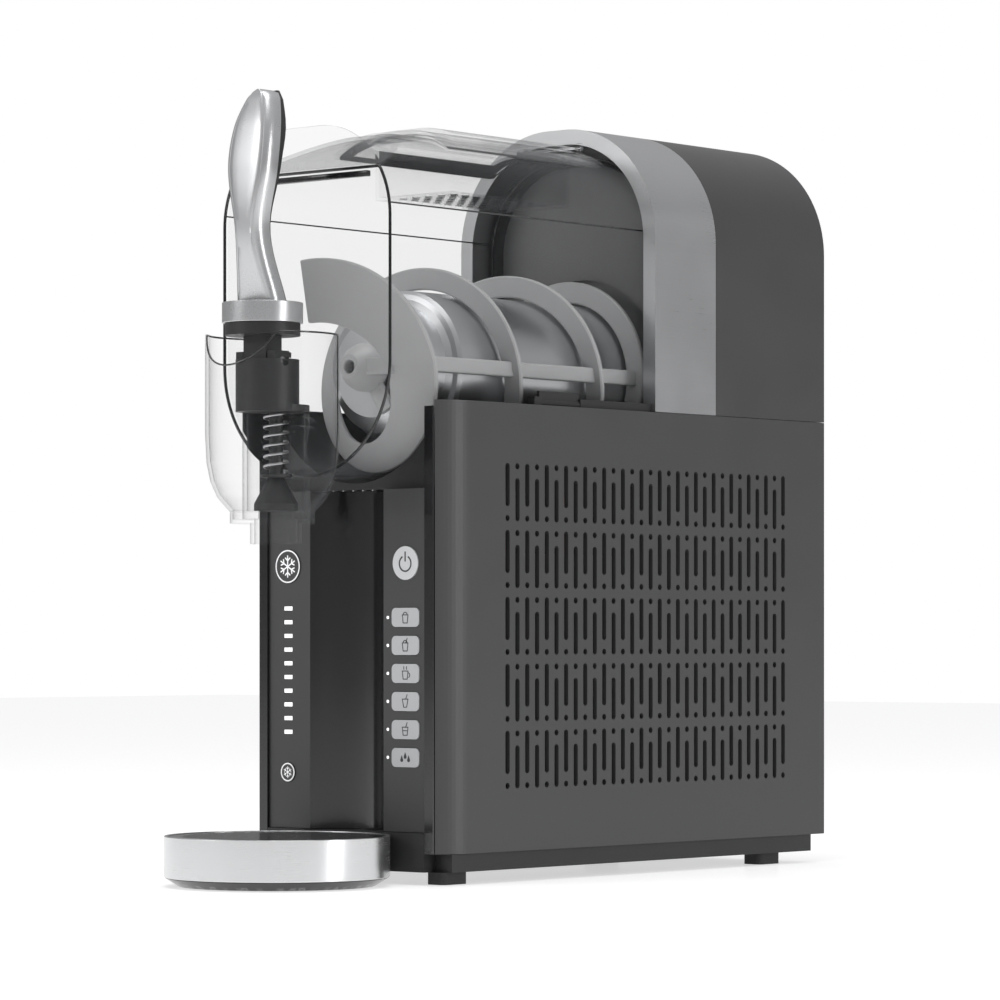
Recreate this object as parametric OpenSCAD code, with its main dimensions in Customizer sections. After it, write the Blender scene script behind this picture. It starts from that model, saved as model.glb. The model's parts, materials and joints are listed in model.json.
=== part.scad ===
// Countertop slushie machine. Millimetres, +Z up, front towards -Y, +X to the machine's right
// as it is seen from behind the controls. Origin: centre of the footprint, on the worktop.
// Inside the modules Y is counted from the front edge of the side panels; place() then centres it.

/* [Body] */
// Overall width across the side panels
body_w = 154; // [146:1:186]
// Depth of the body, front edge of the side panels to the rear
body_d = 360; // [350:1:440]
// Height of the rubber feet
foot_h = 7; // [5:0.5:12]
// Height of the base tray under the side panels
plinth_h = 10.5; // [8:0.5:16]
// Height of the side panels
panel_h = 258; // [250:1:310]
// Thickness of the side panels
panel_t = 3; // [2:0.5:4]
// Radius of the side panels' rolled front edge
roll_r = 32; // [24:1:40]
// Angle that the front edge rolls inwards
roll_a = 44; // [30:1:50]

/* [Vents] */
// Columns of vents in each side panel
vent_cols = 31; // [11:2:31]
// Rows of vents in each side panel
vent_rows = 5; // [2:1:5]
// Distance between columns
vent_pitch_y = 8.8; // [8:0.1:9]
// Distance between rows
vent_pitch_z = 38.5; // [38:0.5:44]
// Width of a slot
slot_w = 3.8; // [3:0.1:4.5]
// Length of a slot
slot_l = 25; // [20:1:26]
// Diameter of the round vent at a slot's end
dot_d = 3.6; // [3:0.1:4.5]

/* [Hood] */
// Height of the hood above the side panels
hood_rise = 174.5; // [170:0.5:190]
// Corner radius of the hood
hood_r = 70; // [60:1:74]
// Depth of the bright band
band_d = 59.5; // [50:0.5:70]
// Depth of the dark hood behind the band
hood_d = 111; // [100:1:150]
// Wall of the hood and the band
hood_t = 3; // [2:0.5:4]
// Width of the band's front lip
lip_w = 9.2; // [7:0.2:11]

/* [Vessel and auger] */
// Height of the auger axis above the worktop
axis_z = 297; // [290:1:305]
// Outer half width of the vessel
vessel_r = 65.4; // [60:0.2:66]
// Wall of the vessel
vessel_t = 2.2; // [1.8:0.1:3]
// Front face of the vessel, ahead of the side panels
vessel_front = 35; // [30:1:42]
// Outer radius of the auger
auger_r = 61; // [52:0.5:62]
// Pitch of the auger
auger_pitch = 75; // [65:1:85]
// Pitch of the auger's front blade
blade_pitch = 126; // [110:1:130]
// Radial width of the auger ribbon
ribbon_w = 13; // [9:0.5:13]
// Thickness of the auger ribbon
ribbon_t = 3.4; // [2.5:0.1:4.5]
// Radius of the chilled drum
drum_r = 46.5; // [40:0.5:47]
// Radius of the drive shaft
shaft_r = 8; // [6:0.5:8]

/* [Tap] */
// Height of the spout's lower rim above the worktop
spout_z = 193.5; // [170:0.5:200]
// Outer radius of the spout ring
spout_r = 14.6; // [13:0.2:16]
// Outer radius of the clear splash guard
guard_r = 38; // [34:0.5:40]
// Radius of the plunger's stem
stem_r = 4; // [3:0.5:5]
// Top of the handle above the worktop
handle_top = 450; // [430:1:470]
// Radius of the handle's hinge pin
pin_r = 2.5; // [2:0.1:3]

/* [Drip tray] */
// Radius of the drip tray
tray_r = 64; // [56:1:68]
// Height of the drip tray
tray_h = 28.4; // [26:0.2:34]
// Distance of the tray's centre ahead of the side panels
tray_out = 58; // [50:1:64]

/* [Controls] */
// Width of each control strip
strip_w = 32.8; // [30:0.2:36]
// Distance between the mode keys
key_pitch = 16; // [15:0.2:17]
// Width of a mode key
key_w = 20.8; // [18:0.2:22]
// Height of a mode key
key_h = 10.9; // [9:0.1:12]
// Travel of every key
key_travel = 1; // [0.6:0.1:1.2]

/* [Drive] */
// Gear module
gear_m = 1.5; // [1.5:0.1:1.6]
// Teeth on the auger gear
gear_teeth = 48; // [40:4:48]
// Teeth on the motor pinion
pinion_teeth = 12; // [12:1:14]

/* [Hidden] */
$fn = 64;

// Clearances
gap = 0.3;                       // between pieces that must not touch
run = 0.06;                      // radial running clearance of a shaft or pin
slide_gap = 0.6;                 // round the vessel and the drip tray
key_gap = 0.25;                  // round each key

half_w = body_w / 2;
panel_z = foot_h + plinth_h;
deck_z = panel_z + panel_h;      // top of the side panels
hood_top = deck_z + hood_rise + gap;
front_reach = tray_out + tray_r;
centre_y = (body_d - front_reach) / 2;
hood_y = body_d - hood_d;
band_y = hood_y - band_d;
wall_t = 3.5;
wall_y = band_y + 24;            // front face of the rear wall
side_z = deck_z + 104.5;         // where the hood's sides start to bend
inner_half = half_w - lip_w;
inner_r = hood_r - lip_w;
panel_in = half_w - panel_t;     // inner face of a side panel

// Places a module's geometry in the part's frame.
module place() translate([0, -centre_y, 0]) children();

// Box between two corners.
module box(x, y, z) translate([x[0], y[0], z[0]]) cube([x[1] - x[0], y[1] - y[0], z[1] - z[0]]);

// Mirrors to the left where s is negative.
module flip(s) mirror([s < 0 ? 1 : 0, 0, 0]) children();

// Profile in X and Z, drawn out along Y.
module along_y(y0, y1) translate([0, y1, 0]) rotate([90, 0, 0]) linear_extrude(y1 - y0) children();

// Profile in Y and Z, drawn out along X.
module along_x(x0, x1) translate([x0, 0, 0]) rotate([90, 0, 90]) linear_extrude(x1 - x0) children();

module rod_x(r, x, y, z) translate([x[0], y, z]) rotate([0, 90, 0]) cylinder(r = r, h = x[1] - x[0]);
module rod_y(r, y, x, z) translate([x, y[0], z]) rotate([-90, 0, 0]) cylinder(r = r, h = y[1] - y[0]);
module rod_z(r, z, x, y) translate([x, y, z[0]]) cylinder(r = r, h = z[1] - z[0]);

// Turned piece about an axis along Y: the profile's points are [radius, y].
module turned_y(z) translate([0, 0, z]) rotate([-90, 0, 0]) rotate_extrude() children();

// Rectangle with round corners.
module rounded(w, h, r) {
    square([w - 2 * r, h], center = true);
    square([w, h - 2 * r], center = true);
    for (sx = [-1, 1], sz = [-1, 1]) translate([sx * (w / 2 - r), sz * (h / 2 - r)]) circle(r);
}

// Arch: straight sides from z0 to z1, then quarter rounds of radius r to a short flat top.
module arch(half, r, z0, z1) {
    translate([-half, z0]) square([2 * half, z1 - z0]);
    for (s = [-1, 1]) translate([s * (half - r), z1]) circle(r);
    translate([r - half, z1 - gap]) square([2 * (half - r), r + gap]);
}

// The vessel's outline, shrunk by inset: half round below the auger axis, arch above.
vessel_side_z = axis_z + 81;
vessel_top_r = 54;
module vessel_outline(inset) {
    translate([0, axis_z]) circle(vessel_r - inset);
    arch(vessel_r - inset, vessel_top_r - inset, axis_z, vessel_side_z);
}
vessel_top = vessel_side_z + vessel_top_r;

// Gear teeth with straight flanks, narrowed for backlash.
module gear_outline(teeth, m, phase) {
    pitch_r = teeth * m / 2;
    root_r = pitch_r - 1.25 * m;
    step = 360 / teeth;
    circle(root_r);
    for (i = [0 : teeth - 1]) rotate(phase + i * step) polygon([
        [root_r - 0.5, -step * 0.31 * PI / 180 * pitch_r],
        [pitch_r + 0.85 * m, -step * 0.11 * PI / 180 * pitch_r],
        [pitch_r + 0.85 * m, step * 0.11 * PI / 180 * pitch_r],
        [root_r - 0.5, step * 0.31 * PI / 180 * pitch_r]]);
}

// Solid swept through a list of rings that have the same number of points.
module loft(rings) {
    n = len(rings[0]);
    m = len(rings);
    points = [for (ring = rings) for (p = ring) p];
    polyhedron(points, concat(
        [[for (j = [n - 1 : -1 : 0]) j]],
        [for (i = [0 : m - 2]) for (j = [0 : n - 1])
            [i * n + j, (i + 1) * n + (j + 1) % n, (i + 1) * n + j]],
        [for (i = [0 : m - 2]) for (j = [0 : n - 1])
            [i * n + j, i * n + (j + 1) % n, (i + 1) * n + (j + 1) % n]],
        [[for (j = [0 : n - 1]) (m - 1) * n + j]]));
}

/* Base and casing */

base_in = 3;                     // the base stands back from the side panels
base_rear = body_d - 10;
socket_w = 40;                   // tongue and socket that hold the drip tray
socket_h = 12;
socket_z = foot_h + 3;
module chassis_base() {
    color([0.06, 0.06, 0.065]) place() difference() {
        union() {
            box([-half_w + base_in, half_w - base_in], [8, base_rear], [foot_h, panel_z - gap]);
            box([gap - fascia_half, fascia_half - gap], [-1.6, 30], [foot_h, strip_z0 - gap]);
        }
        rod_z(tray_r + slide_gap, [0, tray_h + 2], 0, -tray_out);
        box([-half_w + base_in + 3, half_w - base_in - 3], [33, base_rear - 3],
            [foot_h + 3, panel_z + 1]);
        box([-socket_w / 2, socket_w / 2], [-3, 16], [socket_z, socket_z + socket_h]);
    }
}

foot_x = half_w - 13;
foot_y = [15, body_d - 48];
module feet() {
    color([0.05, 0.05, 0.05]) place() for (sx = [-1, 1], y = foot_y)
        translate([sx * foot_x, y, 0]) linear_extrude(foot_h) rounded(14, 22, 4);
}

// Plan outline of a right side panel, rolled inwards at the front.
roll_n = 10;
roll_end = roll_r * sin(roll_a);
function roll_arc(r) = [for (i = [0 : roll_n])
    [half_w - roll_r + r * cos(roll_a * i / roll_n), roll_r * sin(roll_a) - r * sin(roll_a * i / roll_n)]];
function reversed(list) = [for (i = [len(list) - 1 : -1 : 0]) list[i]];
module side_panel() {
    vent_y = body_d / 2 + 5;
    vent_z = panel_z + panel_h / 2 + 0.75;
    difference() {
        union() {
            translate([0, 0, panel_z]) linear_extrude(panel_h)
                polygon(concat(roll_arc(roll_r), reversed(roll_arc(roll_r - panel_t))));
            along_x(half_w - panel_t, half_w) difference() {
                translate([roll_end, panel_z]) square([body_d - roll_end, panel_h]);
                for (i = [0 : vent_cols - 1], j = [0 : vent_rows - 1]) {
                    side = i % 2 == 0 ? 1 : -1;
                    translate([vent_y + (i - (vent_cols - 1) / 2) * vent_pitch_y,
                            vent_z + (j - (vent_rows - 1) / 2) * vent_pitch_z]) {
                        translate([-slot_w / 2, side * 4.25 - slot_l / 2 + slot_w / 2])
                            square([slot_w, slot_l - slot_w]);
                        for (e = [-1, 1]) translate([0, side * 4.25 + e * (slot_l - slot_w) / 2])
                            circle(slot_w / 2);
                        translate([0, -side * 15]) circle(dot_d / 2);
                    }
                }
            }
        }
    }
}
module right_side_panel() {
    color([0.24, 0.24, 0.24]) place() side_panel();
}
module left_side_panel() {
    color([0.24, 0.24, 0.24]) place() mirror([1, 0, 0]) side_panel();
}

screw_z = [panel_z + 22, deck_z - 22];
screw_x = half_w - 14;
rear_panel_y = body_d - 5;
inlet_x = -38;
inlet_z = panel_z + 32;
module rear_panel() {
    color([0.1, 0.1, 0.1]) place() difference() {
        box([-panel_in + gap, panel_in - gap], [rear_panel_y, rear_panel_y + 2.5], [panel_z, deck_z]);
        for (i = [0 : 8]) along_y(rear_panel_y - 1, rear_panel_y + 4)
            translate([0, panel_z + 84 + i * 14]) rounded(92, 5, 2.4);
        for (sx = [-1, 1], z = screw_z) rod_y(1.8, [rear_panel_y - 1, rear_panel_y + 4],
            sx * screw_x, z);
        along_y(rear_panel_y - 1, rear_panel_y + 4) translate([inlet_x, inlet_z]) rounded(28, 21, 3);
    }
}

module power_inlet() {
    color([0.03, 0.03, 0.03]) place() difference() {
        union() {
            along_y(rear_panel_y - 16, rear_panel_y + 2.5) translate([inlet_x, inlet_z])
                rounded(27.4, 20.4, 2.7);
            along_y(rear_panel_y + 2.5, rear_panel_y + 4.5) translate([inlet_x, inlet_z])
                rounded(34, 27, 4);
        }
        along_y(rear_panel_y - 11, rear_panel_y + 5) translate([inlet_x, inlet_z])
            rounded(22, 15, 2);
    }
}

module panel_screws() {
    color("silver") place() for (sx = [-1, 1], z = screw_z) {
        rod_y(1.75, [rear_panel_y - 8, rear_panel_y + 2.5], sx * screw_x, z);
        difference() {
            rod_y(3.4, [rear_panel_y + 2.5, rear_panel_y + 4.3], sx * screw_x, z);
            for (a = [0, 90]) translate([sx * screw_x, 0, z]) rotate([0, a, 0])
                box([-2.4, 2.4], [rear_panel_y + 3.3, rear_panel_y + 5], [-0.45, 0.45]);
        }
    }
}

/* Front */

fascia_half = half_w - 15.6;     // outer edge of each control strip
strip_in = fascia_half - strip_w;
strip_z0 = tray_h + 1.2;
strip_z1 = axis_z - vessel_r - 6.1;
strip_t = 2;
recess_depth = 17;
power_z = panel_z + 165.5;
key_x = (fascia_half + strip_in) / 2 + 0.9;
key_top_z = panel_z + 134.5;
led_x = strip_in + 3.4;
level_x = -(fascia_half + strip_in) / 2 - 1;
level_z = [key_top_z - 5 * key_pitch - 10, power_z - 1];
bar_count = 10;
module fascia_cut() {
    r = (pow(strip_in, 2) + pow(recess_depth, 2)) / (2 * recess_depth);
    translate([0, recess_depth - r]) circle(r);
}
module front_fascia() {
    color([0.05, 0.05, 0.055]) place() difference() {
        union() {
                translate([0, 0, strip_z0]) linear_extrude(strip_z1 - strip_z0) difference() {
                union() {
                    translate([-fascia_half, 0]) square([2 * fascia_half, 8]);
                    translate([-strip_in - 3, 0]) square([2 * strip_in + 6, recess_depth + 3]);
                }
                fascia_cut();
                for (s = [-1, 1]) translate([s * (strip_in + strip_w / 2) - strip_w / 2, -1])
                    square([strip_w, 1 + strip_t]);
            }
            for (s = [-1, 1]) flip(s) box([fascia_half, half_w - 9.3], [-1.6, -gap],
                [panel_z, deck_top]);
            for (s = [-1, 1]) flip(s) box([fascia_half, fascia_half + 3], [-1.6, 6],
                [strip_z0, strip_z1]);
        }
        for (s = [-1, 1]) along_y(strip_t - 1, 9) translate([s * key_x, power_z]) circle(8);
        along_y(strip_t - 1, 9) translate([key_x, key_top_z - 2.5 * key_pitch])
            rounded(key_w - 4, 5 * key_pitch + key_h - 2, 3);
        along_y(strip_t - 1, 9) translate([level_x, (level_z[0] + level_z[1]) / 2])
            rounded(9, level_z[1] - level_z[0] + 6, 3);
        box([led_x - 1.5, led_x + 1.5], [strip_t - 1, 9], [key_top_z - 5 * key_pitch - 3, key_top_z + 3]);
    }
}

power_r = 9.6;
ring_r = [5.6, 9.8];             // warmer key below, colder key above
module strip(side) {
    translate([side * (strip_in + strip_w / 2), 0, strip_z0]) linear_extrude(strip_z1 - strip_z0)
        translate([-strip_w / 2 + 0.1, 0.1]) square([strip_w - 0.2, strip_t - 0.1]);
}
module right_control_strip() {
    color([0.25, 0.25, 0.26]) place() difference() {
        strip(1);
        along_y(-1, 4) translate([key_x, power_z]) circle(power_r + key_gap);
        for (i = [0 : 5]) along_y(-1, 4) translate([key_x, key_top_z - i * key_pitch])
            rounded(key_w + 2 * key_gap, key_h + 2 * key_gap, 3 + key_gap);
        for (i = [0 : 5]) along_y(-1, 4) translate([led_x, key_top_z - i * key_pitch]) circle(1);
    }
}
module left_control_strip() {
    color([0.25, 0.25, 0.26]) place() difference() {
        strip(-1);
        for (k = [0, 1]) along_y(-1, 4) translate([level_x, level_z[k]]) circle(ring_r[k] + key_gap);
        for (i = [0 : bar_count - 1]) along_y(-1, 4)
            translate([level_x, key_top_z + 5.5 - i * key_pitch / 2]) square([6.5, 2.5], center = true);
    }
}

board_y = 14;
module control_board() {
    color([0.05, 0.25, 0.12]) place() difference() {
        union() {
            for (s = [-1, 1]) flip(s) box([strip_in + 5, fascia_half], [board_y, board_y + 1.6],
                [strip_z0 + 6, strip_z1 - 6]);
            box([-strip_in - 5, strip_in + 5], [board_y + 8, board_y + 9.6], [strip_z0 + 6, strip_z1 - 90]);
            for (s = [-1, 1]) flip(s) box([strip_in + 5, strip_in + 8], [board_y, board_y + 9.6],
                [strip_z0 + 6, strip_z1 - 90]);
        }
        for (s = [-1, 1], z = [strip_z0 + 12, strip_z1 - 12])
            rod_y(1.6, [board_y - 1, board_y + 3], s * (fascia_half - 5), z);
    }
}

// Light pipes: ten level bars on the left strip, one dot beside each mode key on the right.
module indicator_leds() {
    color("white") place() {
        for (i = [0 : bar_count - 1]) along_y(0.1, 6)
            translate([level_x, key_top_z + 5.5 - i * key_pitch / 2]) square([6.3, 2.3], center = true);
        for (i = [0 : 5]) rod_y(0.9, [0.1, 6], led_x, key_top_z - i * key_pitch);
    }
}

// A key: cap proud of the strip, with a foot behind it.
key_proud = 0.5;
cap_back = strip_t - key_travel - 0.2;
module mode_key(i) {
    translate([key_x, 0, key_top_z - i * key_pitch]) {
        along_y(-key_proud, cap_back) rounded(key_w, key_h, 3);
        rod_y(3, [0, board_y - key_travel - gap], 0, 0);
    }
}
module power_button() {
    color("whitesmoke") place() {
        rod_y(power_r, [-key_proud, cap_back], key_x, power_z);
        rod_y(3, [0, board_y - key_travel - gap], key_x, power_z);
    }
}
module mode_key_1() { color([0.75, 0.75, 0.76]) place() mode_key(0); }
module mode_key_2() { color([0.75, 0.75, 0.76]) place() mode_key(1); }
module mode_key_3() { color([0.75, 0.75, 0.76]) place() mode_key(2); }
module mode_key_4() { color([0.75, 0.75, 0.76]) place() mode_key(3); }
module mode_key_5() { color([0.75, 0.75, 0.76]) place() mode_key(4); }
module mode_key_6() { color([0.75, 0.75, 0.76]) place() mode_key(5); }
module level_key(k) {
    rod_y(ring_r[k], [-key_proud, cap_back], level_x, level_z[k]);
    rod_y(2.5, [0, board_y - key_travel - gap], level_x, level_z[k]);
}
module warmer_key() { color([0.2, 0.2, 0.21]) place() level_key(0); }
module colder_key() { color([0.2, 0.2, 0.21]) place() level_key(1); }

/* Deck, rear wall and hood */

trough_r = vessel_r + 2.1;
deck_y = 2;
deck_top = deck_z - 3.5;
rail_y = 123;
module deck_section(half) difference() {
    bottom = axis_z - trough_r - 4;
    union() {
        intersection() {
            translate([0, axis_z]) circle(trough_r + 3);
            translate([-half, bottom]) square([2 * half, deck_top - bottom]);
        }
        translate([-half, deck_top - 3]) square([2 * half, 3]);
    }
    translate([0, axis_z]) circle(trough_r);
}
module deck_cradle() {
    front = deck_y + 9;
    wide_y = roll_end + 3;
    color([0.07, 0.07, 0.07]) place() difference() {
        union() {
            along_y(front, wide_y) deck_section(panel_in - 4);
            along_y(wide_y, wall_y - gap) deck_section(panel_in - gap);
            along_y(front - 3, front) difference() {
                translate([10 - half_w, strip_z1 + gap])
                    square([2 * half_w - 20, deck_top - strip_z1 - gap]);
                translate([0, axis_z]) circle(trough_r);
            }
            for (s = [-1, 1]) flip(s) {
                box([trough_r, panel_in - gap], [rail_y, band_y - gap], [deck_top - 1, deck_z + 5]);
                box([trough_r, panel_in - gap], [latch_y[0] - 6, latch_y[0] - gap],
                    [deck_top - 1, latch_z + 3.5]);
                box([panel_in - 3 - gap, panel_in - gap], [deck_y + 24, wall_y - gap - 1],
                    [deck_top - 26, deck_top - 1]);
            }
        }
        for (s = [-1, 1]) rod_y(latch_pin_r + run, [latch_y[0] - 5, rail_y + 5], s * latch_x, latch_z);
    }
}

latch_pin_r = 1.8;
latch_x = half_w - 6.5;
latch_z = deck_top + 5;
latch_y = [rail_y - 36, rail_y - gap];
module latch() {
    along_y(latch_y[0], latch_y[1]) translate([latch_x, latch_z]) {
        circle(3);
        translate([-4.6, -1.4]) square([4.6, 3.6]);
        translate([-0.2, 0]) square([2, 7]);
    }
    rod_y(latch_pin_r, [latch_y[0] - 4.5, latch_y[1] + 4], latch_x, latch_z);
}
module right_latch() {
    color([0.05, 0.05, 0.05]) place() latch();
}
module left_latch() {
    color([0.05, 0.05, 0.05]) place() mirror([1, 0, 0]) latch();
}

pocket_r = auger_r + 2;
spigot_r = drum_r - 6.8;
module rear_wall() {
    color([0.42, 0.42, 0.42]) place() difference() {
        union() {
            along_y(wall_y, wall_y + wall_t) {
                arch(inner_half + 1.8, inner_r + 1.8, axis_z, side_z);
                translate([0, axis_z]) circle(inner_half + 1.8);
            }
            rod_y(pocket_r + 3, [wall_y + 1, wall_y + 2 * wall_t], 0, axis_z);
        }
        rod_y(pocket_r, [wall_y - 1, wall_y + wall_t], 0, axis_z);
        rod_y(spigot_r + 0.2, [wall_y - 1, wall_y + 3 * wall_t], 0, axis_z);
    }
}

module silver_band() {
    color([0.72, 0.72, 0.73]) place() difference() {
        along_y(band_y, hood_y - gap) arch(half_w, hood_r, deck_z + gap, side_z);
        along_y(band_y - 1, hood_y) arch(inner_half, inner_r, deck_z - 1, side_z);
        along_y(band_y + hood_t, wall_y - 3) difference() {
            arch(half_w - hood_t, hood_r - hood_t, deck_z - 1, side_z);
            arch(inner_half + 1.8, inner_r + 1.8, deck_z - 2, side_z);
        }
        along_y(wall_y - gap, hood_y + 1) arch(half_w - hood_t, hood_r - hood_t, deck_z - 1, side_z);
    }
}

module rear_hood() {
    color([0.2, 0.2, 0.2]) place() difference() {
        along_y(hood_y, body_d) arch(half_w, hood_r, deck_z + gap, side_z);
        along_y(hood_y - 1, body_d - hood_t) arch(half_w - hood_t, hood_r - hood_t, deck_z - 1, side_z);
        rod_z(8, [hood_top - 0.8, hood_top + 1], 0, hood_y + 20);
    }
}

/* Cooling drum and drive */

drum_y = 49;                     // shoulder of the drum
nose_y = 22;                     // front of the drum's nose
tube_r = shaft_r + 3;
spigot_y = wall_y + 10.5;
module evaporator_drum() {
    color("silver") place() turned_y(axis_z) polygon([
        [tube_r, spigot_y], [tube_r, nose_y], [drum_r - 18, nose_y], [drum_r - 9, nose_y + 7],
        [drum_r - 8, drum_y - 6], [drum_r - 5, drum_y - 3], [drum_r - 2, drum_y - 2],
        [drum_r, drum_y], [drum_r, wall_y + wall_t], [spigot_r, wall_y + wall_t],
        [spigot_r, spigot_y], [spigot_r - 3, spigot_y], [spigot_r - 3, wall_y],
        [drum_r - 3, wall_y - 3], [drum_r - 3, drum_y + 3], [drum_r - 11, drum_y - 4],
        [drum_r - 12, nose_y + 10], [tube_r + 3, nose_y + 5], [tube_r + 3, spigot_y]]);
}

gear_y = [spigot_y + 11, spigot_y + 21];
case_y = [spigot_y + 1, spigot_y + 31];
centre_distance = (gear_teeth + pinion_teeth) * gear_m / 2;
motor_z = axis_z - centre_distance;
gear_tip = gear_teeth * gear_m / 2 + 2 * gear_m;
motor_shaft_r = 4;
module drive_shaft() {
    color("silver") place() {
        rod_y(shaft_r, [nose_y, case_y[1] - 1], 0, axis_z);
        translate([0, nose_y - 12, axis_z]) rotate([-90, 0, 0]) cylinder(r = shaft_r, h = 12.2, $fn = 6);
    }
}
module shaft_bushes() {
    color([0.6, 0.42, 0.2]) place() for (y = [nose_y + 2, wall_y - 14]) difference() {
        rod_y(tube_r, [y, y + 12], 0, axis_z);
        rod_y(shaft_r + run, [y - 1, y + 13], 0, axis_z);
    }
}
module drive_gear() {
    color([0.85, 0.83, 0.76]) place() difference() {
        translate([0, gear_y[0], axis_z]) rotate([-90, 0, 0]) linear_extrude(gear_y[1] - gear_y[0])
            gear_outline(gear_teeth, gear_m, 90);
        rod_y(shaft_r, [gear_y[0] - 1, gear_y[1] + 1], 0, axis_z);
    }
}
module motor_pinion() {
    color([0.7, 0.7, 0.7]) place() union() {
        translate([0, gear_y[0] - 0.5, motor_z]) rotate([-90, 0, 0])
            linear_extrude(gear_y[1] - gear_y[0] + 1)
                gear_outline(pinion_teeth, gear_m, -90 + 180 / pinion_teeth);
        rod_y(motor_shaft_r, [gear_y[1], case_y[1] + 14], 0, motor_z);
    }
}
module gearbox_case() {
    case_half = gear_tip + 6;
    case_z = [motor_z - pinion_teeth * gear_m / 2 - 12, axis_z + gear_tip + 6];
    color([0.13, 0.13, 0.13]) place() difference() {
        box([-case_half, case_half], case_y, case_z);
        box([-case_half + 3, case_half - 3], [case_y[0] + 3, case_y[1] - 3], [case_z[0] + 3, case_z[1] - 3]);
        rod_y(shaft_r + run, [case_y[0] - 1, case_y[1] + 1], 0, axis_z);
        rod_y(motor_shaft_r + 0.4, [case_y[1] - 4, case_y[1] + 1], 0, motor_z);
    }
}
module drive_motor() {
    color([0.4, 0.4, 0.42]) place() difference() {
        union() {
            rod_y(29, [case_y[1] + 3, case_y[1] + 62], 0, motor_z);
            rod_y(12, [case_y[1], case_y[1] + 4], 0, motor_z);
            rod_y(9, [case_y[1] + 61, case_y[1] + 67], 0, motor_z);
        }
        rod_y(motor_shaft_r + run, [case_y[1] - 1, case_y[1] + 16], 0, motor_z);
    }
}

/* Refrigeration */

comp_r = 46;
comp_y = body_d - 100;
comp_z = panel_z + 8;
comp_h = 128;
module compressor() {
    color([0.04, 0.04, 0.04]) place() {
        rod_z(comp_r, [comp_z, comp_z + comp_h - 22], 0, comp_y);
        translate([0, comp_y, comp_z + comp_h - 22]) intersection() {
            translate([0, 0, -28]) sphere(54);
            cylinder(r = comp_r, h = 30);
        }
        box([-62, 62], [comp_y - 14, comp_y + 14], [comp_z - 2, comp_z + 1]);
    }
}
module compressor_grommets() {
    color([0.08, 0.08, 0.08]) place() for (s = [-1, 1])
        rod_z(7, [foot_h + 3, comp_z - 2], s * 54, comp_y);
}

coil_y = [56, 176];
coil_z = [panel_z + 12, panel_z + 172];
module condenser_coil() {
    color([0.78, 0.78, 0.8]) place() {
        for (i = [0 : 19]) box([46, 66], [coil_y[0] + 3 + i * 6, coil_y[0] + 4 + i * 6], coil_z);
        for (k = [0 : 5]) rod_y(3.4, coil_y, 56, coil_z[0] + 14 + k * 26);
        for (y = [coil_y[0], coil_y[1] - 1.2]) box([46, 66], [y, y + 1.2], [foot_h + 3, coil_z[1]]);
    }
}
fan_r = 52;
fan_y = (coil_y[0] + coil_y[1]) / 2;
fan_z = (coil_z[0] + coil_z[1]) / 2;
module fan_shroud() {
    color([0.1, 0.1, 0.1]) place() difference() {
        union() {
            box([22, 45.5], [coil_y[0], coil_y[1]], [fan_z - 60, fan_z + 60]);
            box([22, 45.5], [fan_y - 20, fan_y + 20], [foot_h + 3, fan_z - 50]);
        }
        rod_x(fan_r + 2, [25, 47], fan_y, fan_z);
        rod_x(fan_r - 4, [21, 30], fan_y, fan_z);
    }
    color([0.1, 0.1, 0.1]) place() difference() {
        for (a = [0, 60, 120]) translate([22, fan_y, fan_z]) rotate([a, 0, 0])
            box([0, 3], [-fan_r + 3, fan_r - 3], [-2.5, 2.5]);
        rod_x(12, [21, 26], fan_y, fan_z);
    }
}
module fan_motor() {
    color([0.5, 0.5, 0.5]) place() difference() {
        union() {
            rod_x(18, [2, 21.7], fan_y, fan_z);
            rod_x(12, [21, 25], fan_y, fan_z);
        }
        rod_x(2 + run, [15, 26], fan_y, fan_z);
    }
}
blade_n = 7;
module fan_rotor() {
    color([0.12, 0.12, 0.12]) place() union() {
        rod_x(17, [27, 42], fan_y, fan_z);
        rod_x(2, [16, 28], fan_y, fan_z);
        for (i = [0 : blade_n - 1]) translate([34.5, fan_y, fan_z]) rotate([i * 360 / blade_n, 0, 0])
            rotate([0, 0, 32]) box([-1, 1], [-9, 9], [14, fan_r - 3]);
    }
}

// Tube through points, with a brazed elbow at each bend.
module tube_run(r, points) {
    for (i = [0 : len(points) - 2]) {
        a = points[i];
        d = points[i + 1] - a;
        len_d = norm(d);
        translate(a) rotate([0, acos(d[2] / len_d), atan2(d[1], d[0])])
            cylinder(r = r, h = len_d);
        if (i > 0) translate(a) sphere(r * 1.25);
    }
}
module refrigerant_pipes() {
    comp_top = comp_z + comp_h + 2.4;
    color([0.72, 0.43, 0.25]) place() {
        tube_run(2.6, [[18, comp_y, comp_top], [18, comp_y, comp_top + 16], [56, comp_y, comp_top + 16],
            [56, comp_y - 50, comp_top + 16], [56, coil_y[1] + 12, coil_z[1] - 16],
            [56, coil_y[1] + gap, coil_z[1] - 16]]);
        tube_run(2.6, [[56, coil_y[1] + gap, coil_z[0] + 14], [56, coil_y[1] + 14, coil_z[0] + 14],
            [-40, coil_y[1] + 14, coil_z[0] + 14], [-40, coil_y[1] + 14, coil_z[0] + 50]]);
        rod_z(9, [coil_z[0] + 48, coil_z[0] + 130], -40, coil_y[1] + 14);
        tube_run(2, [[-40, coil_y[1] + 14, coil_z[0] + 128], [-40, coil_y[1] + 14, axis_z - trough_r - 12]]);
        tube_run(3.4, [[-18, comp_y, comp_top], [-18, comp_y, comp_top + 10],
            [-22, wall_y + 9, comp_top + 26], [-22, wall_y + 9, axis_z - trough_r - 2]]);
    }
}

/* Vessel */

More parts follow.
